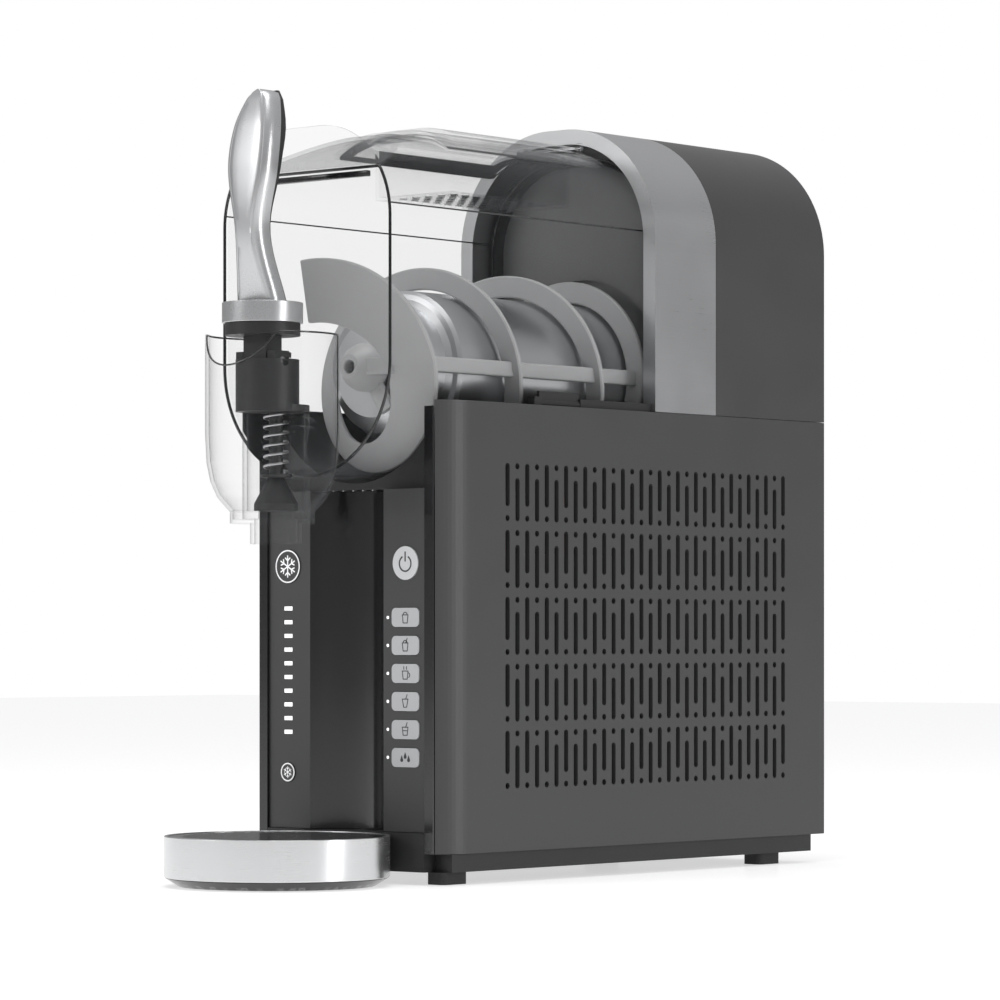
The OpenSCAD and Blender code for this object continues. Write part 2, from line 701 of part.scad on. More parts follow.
vessel_rear = wall_y - 6.3;
roof_y = 20;                     // the roof falls from here to the front face
roof_drop = 26;
hatch_x = 38;
hatch_y = [44, band_y - 12];
hinge_y = band_y - 5.5;
hinge_z = vessel_top + 4.5;
hinge_r = 1.5;
tap_y = -vessel_front - 24;      // plunger, spout tube and spout ring
tube_out = 19;
tube_in = 16.5;
tube_z = [spout_z + 14, spout_z + 74.5];
seat_z = tube_z[0] + 4.5;
port_z = tube_z[0] + 41;
port_r = 13;
module roof_wedge(drop) {
    along_x(-half_w, half_w) polygon([[-vessel_front - 1, vessel_top - roof_drop - drop],
        [roof_y, vessel_top - drop], [roof_y, vessel_top + 9], [-vessel_front - 1, vessel_top + 9]]);
}
module vessel() {
    color([0.85, 0.9, 0.92, 0.35]) place() difference() {
        union() {
            difference() {
                along_y(-vessel_front, vessel_rear) vessel_outline(0);
                roof_wedge(0);
            }
            along_y(-vessel_front, -vessel_front + vessel_t) vessel_outline(0);
            along_y(vessel_rear - 4, vessel_rear) vessel_outline(-1.4);
            rod_z(tube_out, tube_z, 0, tap_y);
            rod_y(port_r + 5, [tap_y, -vessel_front + 1], 0, port_z);
            for (s = [-1, 1]) flip(s) {
                rod_x(3.5, [20, 24], hinge_y, hinge_z);
                box([20, 24], [hinge_y - 3.5, hinge_y + 3.5], [vessel_top - 3, hinge_z]);
            }
        }
        difference() {
            along_y(-vessel_front + vessel_t, vessel_rear + 1) vessel_outline(vessel_t);
            roof_wedge(vessel_t);
        }
        box([-hatch_x, hatch_x], hatch_y, [vessel_top - 30, vessel_top + 1]);
        rod_z(tube_in, [seat_z, tube_z[1] + 1], 0, tap_y);
        rod_z(10, [tube_z[0] - 1, seat_z + 1], 0, tap_y);
        rod_y(port_r, [tap_y, -vessel_front + vessel_t + 1], 0, port_z);
        rod_x(hinge_r, [-30, 30], hinge_y, hinge_z);
    }
}

module vessel_gasket() {
    color([0.15, 0.15, 0.15]) place() along_y(vessel_rear + gap, wall_y) difference() {
        vessel_outline(-1.4);
        vessel_outline(2.4);
    }
}

lid_y = [hatch_y[0] - 6, hinge_y - 4];
lid_half = hatch_x + 7;
flange_t = 1.5;
module sheet(inner, outer, half, y) {
    along_y(y[0], y[1]) intersection() {
        difference() {
            vessel_outline(-outer);
            vessel_outline(-inner);
        }
        translate([-half, vessel_top - 40]) square([2 * half, 60]);
    }
}
module fill_lid() {
    color([0.9, 0.93, 0.95, 0.35]) place() difference() {
        union() {
            sheet(flange_t + gap, flange_t + gap + 2, lid_half, lid_y);
            sheet(flange_t + gap + 1, flange_t + gap + 4.5, lid_half - 10, [lid_y[0] + 14, lid_y[1] - 10]);
            rod_x(3, [-19.6, 19.6], hinge_y, hinge_z);
            box([-19.6, 19.6], [lid_y[1] - 3, hinge_y], [vessel_top + 2.4, vessel_top + 4.4]);
        }
        sheet(-5, flange_t + gap + 2, lid_half - 12, [lid_y[0] + 16, lid_y[1] - 12]);
        rod_x(hinge_r + run, [-20, 20], hinge_y, hinge_z);
    }
}
module lid_hinge_pin() {
    color("silver") place() rod_x(hinge_r, [-24.6, 24.6], hinge_y, hinge_z);
}

basket_half = 30;
basket_y = [hatch_y[0] + 14, hatch_y[1] - 12];
basket_z = vessel_top - 33;
module fill_basket() {
    hole_nx = 5;
    hole_pitch = 10;
    hole_ny = floor((basket_y[1] - basket_y[0] - 12) / hole_pitch);
    color([0.9, 0.93, 0.95, 0.35]) place() difference() {
        union() {
            sheet(0, flange_t, hatch_x + 4, [hatch_y[0] - 4, hatch_y[1] + 2]);
            intersection() {
                box([-basket_half, basket_half], basket_y, [basket_z, vessel_top + 9]);
                along_y(basket_y[0], basket_y[1]) vessel_outline(-flange_t);
            }
        }
        box([-basket_half + 1.6, basket_half - 1.6], [basket_y[0] + 1.6, basket_y[1] - 1.6],
            [basket_z + 2, vessel_top + 9]);
        for (i = [0 : hole_nx - 1], j = [0 : hole_ny - 1]) rod_z(2.2, [basket_z - 1, basket_z + 3],
            (i - (hole_nx - 1) / 2) * hole_pitch,
            (basket_y[0] + basket_y[1]) / 2 + (j - (hole_ny - 1) / 2) * hole_pitch);
    }
}

/* Tap */

guard_y = tap_y - 3;
guard_z = [tube_z[0] + 4, spout_z + 118.5];
module splash_guard() {
    z = guard_z[0];
    color([0.9, 0.93, 0.95, 0.3]) place() difference() {
        translate([0, guard_y, 0]) rotate_extrude() polygon([
            [guard_r, guard_z[1]], [guard_r, z + 44], [guard_r - 0.8, z + 28], [guard_r - 3, z + 17],
            [guard_r - 7, z + 8], [24, z], [22.4, z + 1], [guard_r - 8.4, z + 9.6],
            [guard_r - 4.8, z + 18], [guard_r - 2.8, z + 28.5], [guard_r - 2, z + 44.5],
            [guard_r - 2, guard_z[1]]]);
        box([-60, 60], [-vessel_front, 0], [0, guard_z[1] + 9]);
        rod_y(29, [guard_y - 60, guard_y], 0, guard_z[1] + 10.5);
    }
}
module spout_ring() {
    color([0.9, 0.93, 0.95, 0.4]) place() difference() {
        union() {
            rod_z(spout_r, [spout_z, tube_z[0] - gap], 0, tap_y);
            rod_z(24, [tube_z[0] - 2.5, tube_z[0] - gap], 0, guard_y);
            difference() {
                rod_z(24, [tube_z[0] - 1, guard_z[0] - gap], 0, guard_y);
                rod_z(22.5, [tube_z[0] - 2, guard_z[0] + 1], 0, guard_y);
            }
        }
        rod_z(spout_r - 2.4, [spout_z - 1, tube_z[0] + 1], 0, tap_y);
        box([-60, 60], [-vessel_front, 0], [0, guard_z[1]]);
    }
}

handle_y = tap_y - 11;           // hinge pin and collar
pin_z = tube_z[1] + 28;
fork_in = stem_r + 1.2;
neck_half = 8.7;
module tap_body() {
    color([0.06, 0.06, 0.06]) place() difference() {
        union() {
            rod_z(tube_out, [tube_z[1], tube_z[1] + 4], 0, tap_y);
            rod_z(18, [tube_z[1], pin_z + 1.5], 0, handle_y + 4);
            box([-15, 15], [handle_y - 6, handle_y + 6], [pin_z - 10, pin_z + 6]);
        }
        box([-neck_half - 0.8, neck_half + 0.8], [handle_y - 8.5, tap_y + 30],
            [tube_z[1] + 6, pin_z + 9]);
        rod_z(stem_r + run, [tube_z[1] - 1, tube_z[1] + 9], 0, tap_y);
        rod_x(pin_r, [-18, 18], handle_y, pin_z);
    }
}
module handle_pin() {
    color("silver") place() rod_x(pin_r, [-15.4, 15.4], handle_y, pin_z);
}

seal_t = 4;
seal_z = seat_z + 0.2;
spring_z = [seal_z + seal_t + 16.8, tube_z[1]];
cross_z = pin_z + 2.8;
module tap_plunger() {
    color([0.08, 0.08, 0.08]) place() union() {
        rod_z(stem_r, [seal_z + seal_t + 6, cross_z + 3], 0, tap_y);
        translate([0, tap_y, seal_z + seal_t]) cylinder(r1 = 12.5, r2 = stem_r, h = 15.8);
        rod_z(9, [spring_z[0] - 2, spring_z[0]], 0, tap_y);
        box([-neck_half, neck_half], [tap_y - 3.4, tap_y + 3.4], [cross_z, cross_z + 3]);
    }
}
module plunger_seal() {
    color([0.3, 0.3, 0.3]) place() rod_z(12.5, [seal_z, seal_z + seal_t], 0, tap_y);
}

spring_turns = 6;
spring_n = 20;
wire_r = 0.8;
function spring_ring(i) = let(a = 360 * i / spring_n,
    z = spring_z[0] + wire_r + (spring_z[1] - spring_z[0] - 2 * wire_r) * i / (spring_turns * spring_n))
    [for (j = [0 : 5]) let(b = 60 * j, r = 6.6 + wire_r * cos(b))
        [r * cos(a), tap_y + r * sin(a), z + wire_r * sin(b)]];
module tap_spring() {
    color("silver") place() loft([for (i = [0 : spring_turns * spring_n]) spring_ring(i)]);
}

// Handle outline: share of the height, lean, width, depth of the dark back.
handle_keys = [[0, -0.5, 29, 3.2], [0.33, -8.3, 18.5, 2.8], [0.62, -6.4, 30, 6],
    [0.82, -1.5, 28, 8.4], [0.96, 2.5, 17, 6], [1, 4, 9, 4]];
function slope(k, i, c) = let(a = max(i - 1, 0), b = min(i + 1, len(k) - 1))
    (k[b][c] - k[a][c]) / (k[b][0] - k[a][0]);
function segment(k, t) = max([for (i = [0 : len(k) - 2]) if (t >= k[i][0]) i]);
function keyed(k, t, c) = let(i = segment(k, t), h = k[i + 1][0] - k[i][0], u = (t - k[i][0]) / h)
    k[i][c] * (1 + 2 * u) * pow(1 - u, 2) + k[i + 1][c] * u * u * (3 - 2 * u)
    + h * slope(k, i, c) * u * pow(1 - u, 2) - h * slope(k, i + 1, c) * u * u * (1 - u);

collar_z = [guard_z[1] + 5.8, guard_z[1] + 17.5];
collar_r = 22.9;
grip_n = 22;
face_t = 12;
function grip_height(t) = collar_z[1] + 0.1 + (handle_top - collar_z[1] - 0.1) * t;
function grip_front(t) = handle_y + keyed(handle_keys, t, 1) - (face_t + keyed(handle_keys, t, 3)) / 2;
function face_ring(t) = let(w = keyed(handle_keys, t, 2) / 2, y = grip_front(t), z = grip_height(t))
    [for (p = [[w, face_t], [w, 4], [w - 1.2, 1.6], [w - 3.6, 0.4], [w / 3, 0], [-w / 3, 0],
        [3.6 - w, 0.4], [1.2 - w, 1.6], [-w, 4], [-w, face_t]]) [p[0], y + p[1], z]];
function back_ring(t, z) = let(w = keyed(handle_keys, t, 2) / 2, y = grip_front(t) + face_t,
    b = keyed(handle_keys, t, 3))
    [for (p = [[w - 0.6, 0], [0.6 - w, 0], [1.2 - w, b * 0.6], [4 - w, b], [w - 4, b], [w - 1.2, b * 0.6]])
        [p[0], y + p[1], z]];
module handle_front() {
    color([0.75, 0.75, 0.76]) place() loft([for (i = [0 : grip_n]) face_ring(i / grip_n)]);
}
module handle_core() {
    color([0.07, 0.07, 0.07]) place() difference() {
        union() {
            loft(concat([back_ring(0, collar_z[1] - 2)],
                [for (i = [0 : grip_n]) back_ring(i / grip_n, grip_height(i / grip_n))]));
            rod_z(collar_r - 2.4, [collar_z[0] - 0.2, collar_z[1]], 0, handle_y);
            rod_z(collar_r - 1.5, [collar_z[0] - 7, collar_z[0] - 0.2], 0, handle_y);
            box([-neck_half, neck_half], [handle_y - 6.5, handle_y + 6.5], [pin_z, collar_z[0] - 5]);
            rod_x(6.5, [-neck_half, neck_half], handle_y, pin_z);
            for (s = [-1, 1]) flip(s) box([fork_in, neck_half], [handle_y, tap_y + 4], [pin_z - 4, pin_z]);
        }
        rod_x(pin_r + run, [-neck_half - 1, neck_half + 1], handle_y, pin_z);
    }
}
module handle_collar() {
    color([0.75, 0.75, 0.76]) place() difference() {
        rod_z(collar_r, collar_z, 0, handle_y);
        rod_z(collar_r - 2.4, [collar_z[0] - 1, collar_z[1] + 1], 0, handle_y);
    }
}

/* Auger */

auger_y = [9 - vessel_front, wall_y - 15];
zero_y = 9;                      // where the flight crosses the +X side
hub_y = [2, nose_y - 1];
hub_r = 14;
steps_turn = 32;
wide_in = 24;
function eased(u) = let(v = min(max(u, 0), 1)) v * v * (3 - 2 * v);
function flight_in(y) = wide_in + (auger_r - ribbon_w - wide_in) * eased((y - 14) / 22);
function flight_turn(y) = (zero_y - y) / (y < zero_y ? blade_pitch : auger_pitch) * 360;
function flight_ring(y) = let(a = flight_turn(y), r = flight_in(y), h = ribbon_t / 2)
    [for (p = [[r, -h], [auger_r, -h], [auger_r, h], [r, h]])
        [p[0] * cos(a), y + p[1], axis_z + p[0] * sin(a)]];
module auger() {
    steps = ceil((auger_y[1] - auger_y[0]) / auger_pitch * steps_turn);
    arm = wide_in + 5;
    bar_in = auger_r - ribbon_w + 2;
    color([0.62, 0.62, 0.63]) place() difference() {
        union() {
            loft([for (i = [0 : steps]) flight_ring(auger_y[0] + (auger_y[1] - auger_y[0]) * i / steps)]);
            difference() {
                rod_y(auger_r - 0.5, [auger_y[1] - 1, auger_y[1] + 2.4], 0, axis_z);
                rod_y(auger_r - ribbon_w + 0.5, [auger_y[1] - 2, auger_y[1] + 3], 0, axis_z);
            }
            rod_y(7.7, [hub_y[0], hub_y[0] + 5], 0, axis_z);
            rod_y(12, [hub_y[0] + 4, hub_y[0] + 10], 0, axis_z);
            rod_y(hub_r, [hub_y[0] + 9, hub_y[1]], 0, axis_z);
            box([8, arm], [zero_y - 3, zero_y + 6], [axis_z - 5, axis_z + 5]);
            translate([0, 0, axis_z]) rotate([0, 60, 0]) box([10, arm], [hub_y[1] - 4, hub_y[1]], [-5, 5]);
            box([bar_in, bar_in + 6], [zero_y, auger_y[1]], [axis_z - 4.5, axis_z + 4.5]);
            box([-bar_in - 6, -bar_in], [zero_y + auger_pitch / 2, auger_y[1]],
                [axis_z - 4.5, axis_z + 4.5]);
        }
        translate([0, nose_y - 12 - gap, axis_z]) rotate([-90, 0, 0])
            cylinder(r = shaft_r + gap, h = 20, $fn = 6);
        rod_y(4, [hub_y[0] - 1, nose_y], 0, axis_z);
    }
}

/* Drip tray */

band_z = 5;
rim_z = tray_h - 3.4;
basin_r = tray_r - 2.3;
module tray_basin() {
    color([0.04, 0.04, 0.045]) place() union() {
        translate([0, -tray_out, 0]) rotate_extrude() polygon([[0, 0], [tray_r - 8, 0],
            [tray_r - 0.6, band_z - 0.4], [tray_r - 0.6, band_z], [basin_r, band_z],
            [basin_r, rim_z], [basin_r - 2.2, rim_z], [basin_r - 2.2, 7], [0, 6]]);
        box([-socket_w / 2 + slide_gap, socket_w / 2 - slide_gap],
            [basin_r - tray_out - 1.3, 14], [socket_z + slide_gap, socket_z + socket_h - slide_gap]);
    }
}
module tray_band() {
    color([0.75, 0.75, 0.76]) place() difference() {
        rod_z(tray_r, [band_z, tray_h], 0, -tray_out);
        rod_z(basin_r + 0.1, [band_z - 1, tray_h + 1], 0, -tray_out);
        box([-socket_w / 2, socket_w / 2], [-10, 14], [socket_z, socket_z + socket_h]);
    }
}
grille_pitch = 9;
module tray_grille() {
    grille_r = basin_r - 0.5;
    color([0.03, 0.03, 0.035]) place() translate([0, -tray_out, rim_z]) linear_extrude(tray_h - 0.4 - rim_z)
        difference() {
            circle(grille_r);
            for (i = [-5 : 5]) {
                half = sqrt(pow(grille_r - 7, 2) - pow(i * grille_pitch, 2)) - 2;
                translate([0, i * grille_pitch]) {
                    square([2 * half, 4], center = true);
                    for (s = [-1, 1]) translate([s * half, 0]) circle(2);
                }
            }
        }
}

chassis_base();
feet();
right_side_panel();
left_side_panel();
rear_panel();
power_inlet();
front_fascia();
right_control_strip();
left_control_strip();
control_board();
indicator_leds();
deck_cradle();
rear_wall();
silver_band();
rear_hood();
evaporator_drum();
vessel_gasket();
gearbox_case();
drive_motor();
motor_pinion();
drive_gear();
drive_shaft();
shaft_bushes();
compressor();
compressor_grommets();
condenser_coil();
fan_shroud();
fan_motor();
fan_rotor();
refrigerant_pipes();
panel_screws();
right_latch();
left_latch();
vessel();
fill_lid();
lid_hinge_pin();
fill_basket();
splash_guard();
spout_ring();
tap_body();
tap_plunger();
plunger_seal();
tap_spring();
handle_front();
handle_core();
handle_collar();
handle_pin();
auger();
tray_basin();
tray_band();
tray_grille();
power_button();
mode_key_1();
mode_key_2();
mode_key_3();
mode_key_4();
mode_key_5();
mode_key_6();
colder_key();
warmer_key();
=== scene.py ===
"""Looks of a countertop slushie machine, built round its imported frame.

All lengths are in metres, in the frame's own axes: the front faces -Y and +Z is up.
"""

import json
import logging
import math
from dataclasses import dataclass, field
from enum import Enum
from typing import Callable, Dict, List, Optional, Sequence, Tuple

import bmesh
import bpy
from mathutils import Matrix, Vector


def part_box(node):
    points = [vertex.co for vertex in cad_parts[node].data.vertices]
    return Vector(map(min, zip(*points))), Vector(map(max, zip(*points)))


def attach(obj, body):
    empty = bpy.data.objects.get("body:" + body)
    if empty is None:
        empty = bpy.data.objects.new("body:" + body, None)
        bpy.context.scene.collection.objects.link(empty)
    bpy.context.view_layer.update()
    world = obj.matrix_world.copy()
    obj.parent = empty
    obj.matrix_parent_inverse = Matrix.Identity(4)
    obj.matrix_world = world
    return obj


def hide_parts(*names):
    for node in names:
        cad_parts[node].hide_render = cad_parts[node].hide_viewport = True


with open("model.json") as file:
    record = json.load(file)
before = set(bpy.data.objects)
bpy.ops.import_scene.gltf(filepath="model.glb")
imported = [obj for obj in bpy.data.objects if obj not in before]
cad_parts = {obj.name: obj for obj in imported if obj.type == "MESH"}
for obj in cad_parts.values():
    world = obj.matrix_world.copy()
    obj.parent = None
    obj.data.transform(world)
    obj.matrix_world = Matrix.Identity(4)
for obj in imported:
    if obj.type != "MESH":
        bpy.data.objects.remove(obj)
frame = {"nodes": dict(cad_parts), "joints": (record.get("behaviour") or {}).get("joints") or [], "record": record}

log = logging.getLogger("slushie_machine")
MM = 0.001

Point = Tuple[float, float, float]
Flat = Tuple[float, float]
Colour = Tuple[float, float, float]


class Grain(Enum):
    """Which way a finish's fine marks run: their stretch along X, Y and Z."""

    FINE = (1.0, 1.0, 1.0)
    ALONG_X = (0.02, 1.0, 1.0)
    ALONG_Y = (1.0, 0.02, 1.0)
    ROUND_Y = (0.02, 1.0, 0.02)
    ROUND_Z = (0.02, 0.02, 1.0)


@dataclass(frozen=True)
class Finish:
    """A solid, opaque finish with colour variation, uneven gloss and a fine bump."""

    name: str
    colour: Colour
    roughness: float
    metallic: float = 0.0
    coat: float = 0.0
    grain: Grain = Grain.FINE
    grain_size: float = 0.0006
    bump: float = 0.00002
    variation: float = 0.08
    glow: float = 0.0

    def material(self) -> bpy.types.Material:
        """Builds the node material, or returns it where it exists.

        Returns:
            The finish's material.
        """
        known = bpy.data.materials.get(self.name)
        if known:
            return known
        made = bpy.data.materials.new(self.name)
        made.use_nodes = True
        nodes = made.node_tree.nodes
        links = made.node_tree.links
        shader = nodes["Principled BSDF"]
        shader.inputs["Metallic"].default_value = self.metallic
        shader.inputs["Coat Weight"].default_value = self.coat
        shader.inputs["Coat Roughness"].default_value = 0.08
        if self.glow:
            shader.inputs["Emission Color"].default_value = (1.0, 1.0, 1.0, 1.0)
            shader.inputs["Emission Strength"].default_value = self.glow
        place = nodes.new("ShaderNodeTexCoord")
        stretch = nodes.new("ShaderNodeMapping")
        stretch.inputs["Scale"].default_value = self.grain.value
        fine = nodes.new("ShaderNodeTexNoise")
        fine.inputs["Scale"].default_value = 1.0 / self.grain_size
        fine.inputs["Detail"].default_value = 3.0
        broad = nodes.new("ShaderNodeTexNoise")
        broad.inputs["Scale"].default_value = 22.0
        broad.inputs["Detail"].default_value = 4.0
        links.new(place.outputs["Object"], stretch.inputs["Vector"])
        links.new(stretch.outputs["Vector"], fine.inputs["Vector"])
        links.new(place.outputs["Object"], broad.inputs["Vector"])
        tint = nodes.new("ShaderNodeMix")
        tint.data_type = "RGBA"
        low = [c * (1.0 - self.variation) for c in self.colour]
        high = [min(1.0, c * (1.0 + self.variation)) for c in self.colour]
        tint.inputs["A"].default_value = (*low, 1.0)
        tint.inputs["B"].default_value = (*high, 1.0)
        both = nodes.new("ShaderNodeMath")
        both.operation = "MULTIPLY_ADD"
        both.inputs[1].default_value = 0.45
        links.new(fine.outputs["Fac"], both.inputs[0])
        share = nodes.new("ShaderNodeMath")
        share.operation = "MULTIPLY"
        share.inputs[1].default_value = 0.55
        links.new(broad.outputs["Fac"], share.inputs[0])
        links.new(share.outputs["Value"], both.inputs[2])
        links.new(both.outputs["Value"], tint.inputs["Factor"])
        links.new(tint.outputs["Result"], shader.inputs["Base Color"])
        gloss = nodes.new("ShaderNodeMapRange")
        gloss.inputs["From Min"].default_value = 0.3
        gloss.inputs["From Max"].default_value = 0.7
        gloss.inputs["To Min"].default_value = max(0.02, self.roughness * 0.88)
        gloss.inputs["To Max"].default_value = min(1.0, self.roughness * 1.12)
        links.new(both.outputs["Value"], gloss.inputs["Value"])
        links.new(gloss.outputs["Result"], shader.inputs["Roughness"])
        relief = nodes.new("ShaderNodeBump")
        relief.inputs["Distance"].default_value = self.bump
        relief.inputs["Strength"].default_value = 0.6
        links.new(fine.outputs["Fac"], relief.inputs["Height"])
        links.new(relief.outputs["Normal"], shader.inputs["Normal"])
        return made


@dataclass(frozen=True)
class Clear:
    """Clear plastic: almost unseen face on, darker where the eye skims along it."""

    name: str
    colour: Colour = (0.10, 0.105, 0.11)
    face_alpha: float = 0.025
    edge_alpha: float = 0.92
    edge_power: float = 2.6
    roughness: float = 0.04

    def material(self) -> bpy.types.Material:
        """Builds the node material, or returns it where it exists.

        Returns:
            The clear material.
        """
        known = bpy.data.materials.get(self.name)
        if known:
            return known
        made = bpy.data.materials.new(self.name)
        made.use_nodes = True
        made.blend_method = "BLEND"
        nodes = made.node_tree.nodes
        links = made.node_tree.links
        shader = nodes["Principled BSDF"]
        shader.inputs["IOR"].default_value = 1.55
        shader.inputs["Specular IOR Level"].default_value = 0.8
        skim = nodes.new("ShaderNodeLayerWeight")
        skim.inputs["Blend"].default_value = 0.3
        steep = nodes.new("ShaderNodeMath")
        steep.operation = "POWER"
        steep.inputs[1].default_value = self.edge_power
        links.new(skim.outputs["Facing"], steep.inputs[0])
        place = nodes.new("ShaderNodeTexCoord")
        flow = nodes.new("ShaderNodeTexNoise")
        flow.inputs["Scale"].default_value = 30.0
        links.new(place.outputs["Object"], flow.inputs["Vector"])
        tint = nodes.new("ShaderNodeMix")
        tint.data_type = "RGBA"
        tint.inputs["A"].default_value = (*[c * 0.9 for c in self.colour], 1.0)
        tint.inputs["B"].default_value = (*[min(1.0, c * 1.1) for c in self.colour], 1.0)
        links.new(flow.outputs["Fac"], tint.inputs["Factor"])
        links.new(tint.outputs["Result"], shader.inputs["Base Color"])
        gloss = nodes.new("ShaderNodeMapRange")
        gloss.inputs["To Min"].default_value = self.roughness * 0.7
        gloss.inputs["To Max"].default_value = self.roughness * 1.3
        links.new(flow.outputs["Fac"], gloss.inputs["Value"])
        links.new(gloss.outputs["Result"], shader.inputs["Roughness"])
        amount = nodes.new("ShaderNodeMapRange")
        amount.inputs["To Min"].default_value = self.face_alpha
        amount.inputs["To Max"].default_value = self.edge_alpha
        links.new(steep.outputs["Value"], amount.inputs["Value"])
        links.new(amount.outputs["Result"], shader.inputs["Alpha"])
        return made


FINISHES = {
    "dark_satin": Finish("satin_graphite_paint", (0.066, 0.066, 0.067), 0.40, 0.25,
                         grain_size=0.0004, bump=0.00001),
    "black_plastic": Finish("black_moulded_plastic", (0.018, 0.018, 0.019), 0.46),
    "gloss_black": Finish("gloss_black_plastic", (0.012, 0.012, 0.013), 0.16, coat=0.4,
                          grain_size=0.003, bump=0.00001),
    "strip_grey": Finish("control_strip_grey", (0.055, 0.055, 0.056), 0.38,
                         grain_size=0.0005, bump=0.000006),
    "hood_dark": Finish("metallic_graphite_paint", (0.115, 0.115, 0.117), 0.38, 0.8,
                        grain_size=0.0003, bump=0.000006),
    "band_silver": Finish("satin_silver", (0.56, 0.565, 0.57), 0.30, 1.0,
                          grain=Grain.ALONG_Y, grain_size=0.0004, bump=0.000006),
    "wall_grey": Finish("grey_moulded_plastic", (0.155, 0.156, 0.157), 0.42),
    "drum_steel": Finish("turned_stainless_steel", (0.62, 0.63, 0.64), 0.30, 1.0,
                         grain=Grain.ROUND_Y, grain_size=0.0007, bump=0.00001),
    "auger_grey": Finish("light_grey_nylon", (0.47, 0.472, 0.476), 0.40),
    "handle_silver": Finish("satin_silver_paint", (0.60, 0.605, 0.61), 0.30, 0.85,
                            grain_size=0.0004, bump=0.000004),
    "rubber": Finish("black_rubber", (0.02, 0.02, 0.02), 0.7, grain_size=0.001),
    "steel": Finish("bright_steel", (0.5, 0.5, 0.51), 0.3, 1.0, grain=Grain.ROUND_Y),
    "screw": Finish("nickel_plate", (0.66, 0.66, 0.67), 0.2, 1.0, bump=0.000006),
    "bronze": Finish("sintered_bronze", (0.42, 0.27, 0.12), 0.42, 1.0),
    "nylon": Finish("natural_nylon", (0.66, 0.63, 0.53), 0.45),
    "enamel": Finish("black_enamel", (0.015, 0.015, 0.016), 0.3, coat=0.3, grain_size=0.004),
    "aluminium": Finish("mill_aluminium", (0.6, 0.61, 0.62), 0.35, 1.0, grain=Grain.ALONG_X),
    "copper": Finish("copper_tube", (0.6, 0.29, 0.16), 0.3, 1.0, variation=0.2),
    "board": Finish("green_solder_mask", (0.02, 0.11, 0.05), 0.35),
    "light": Finish("lit_white_lens", (0.9, 0.9, 0.9), 0.4, glow=0.7, variation=0.03),
    "key_pale": Finish("pale_grey_key", (0.54, 0.55, 0.56), 0.42, variation=0.03),
    "key_white": Finish("white_key", (0.72, 0.73, 0.74), 0.38, variation=0.03),
}
CLEAR = Clear("clear_plastic")
CLEAR_THIN = Clear("clear_plastic_thin", (0.2, 0.205, 0.21), face_alpha=0.02, edge_alpha=0.8)
PRINT_DARK = Finish("dark_print", (0.05, 0.05, 0.052), 0.5, variation=0.04)
# White print with a painted glow: its emission makes the marks shine though they are no lamp.
PRINT_WHITE_GLOWING = Finish("white_print_painted_glow", (0.86, 0.86, 0.87), 0.45, glow=0.25, variation=0.03)
TRAY_BRUSHED = Finish("brushed_tray_band", (0.74, 0.745, 0.75), 0.26, 1.0,
                      grain=Grain.ROUND_Z, grain_size=0.0005, bump=0.00001)


def finish_of(slot: str) -> bpy.types.Material:
    """Material for one of the record's slots.

    Args:
        slot: The slot's name.

    Returns:
        The material for it.
    """
    if slot == "clear":
        return CLEAR.material()
    return FINISHES[slot].material()


def new_piece(name: str, mesh: bmesh.types.BMesh, material: bpy.types.Material, body: str,
              smooth: bool = True) -> bpy.types.Object:
    """Makes a piece from a mesh, dresses it and sets it riding on a body.

    Args:
        name: The piece's name.
        mesh: Its geometry, in the frame.
        material: Its finish.
        body: The body that it rides on.
        smooth: Whether faces meet smoothly below a 35 degree edge.

    Returns:
        The new object.
    """
    bmesh.ops.recalc_face_normals(mesh, faces=mesh.faces)
    data = bpy.data.meshes.new(name)
    mesh.to_mesh(data)
    mesh.free()
    if smooth:
        data.shade_smooth()
        data.set_sharp_from_angle(angle=math.radians(35))
    data.materials.append(material)
    piece = bpy.data.objects.new(name, data)
    bpy.context.scene.collection.objects.link(piece)
    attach(piece, body)
    log.info("%s: %d faces, rides on %s", name, len(data.polygons), body)
    return piece


def loft(rings: Sequence[Sequence[Point]], capped: bool = True) -> bmesh.types.BMesh:
    """Skins a row of rings that have the same number of points.

    Args:
        rings: The rings, in order.
        capped: Whether the first and last ring are closed by a face.

    Returns:
        The skinned mesh.
    """
    mesh = bmesh.new()
    rows = [[mesh.verts.new(p) for p in ring] for ring in rings]
    count = len(rows[0])
    for a, b in zip(rows, rows[1:]):
        for i in range(count):
            j = (i + 1) % count
            mesh.faces.new((a[i], a[j], b[j], b[i]))
    if capped:
        mesh.faces.new(rows[0])
        mesh.faces.new(rows[-1])
    return mesh


def turned(profile: Sequence[Flat], centre: Point, axis: str, steps: int = 96) -> bmesh.types.BMesh:
    """Turns a closed profile of [radius, place along the axis] about an axis.

    Args:
        profile: The profile's points.
        centre: A point on the axis, where the places are counted from.
        axis: "Y" or "Z".
        steps: Number of steps round.

    Returns:
        The turned mesh.
    """
    rings = []
    for i in range(steps):
        a = 2 * math.pi * i / steps
        ring = []
        for r, along in profile:
            u, v = r * math.cos(a), r * math.sin(a)
            offset = (u, along, v) if axis == "Y" else (u, v, along)
            ring.append(tuple(c + o for c, o in zip(centre, offset)))
        rings.append(ring)
    mesh = loft(rings + [rings[0]], capped=False)
    bmesh.ops.remove_doubles(mesh, verts=mesh.verts, dist=1e-7)
    return mesh


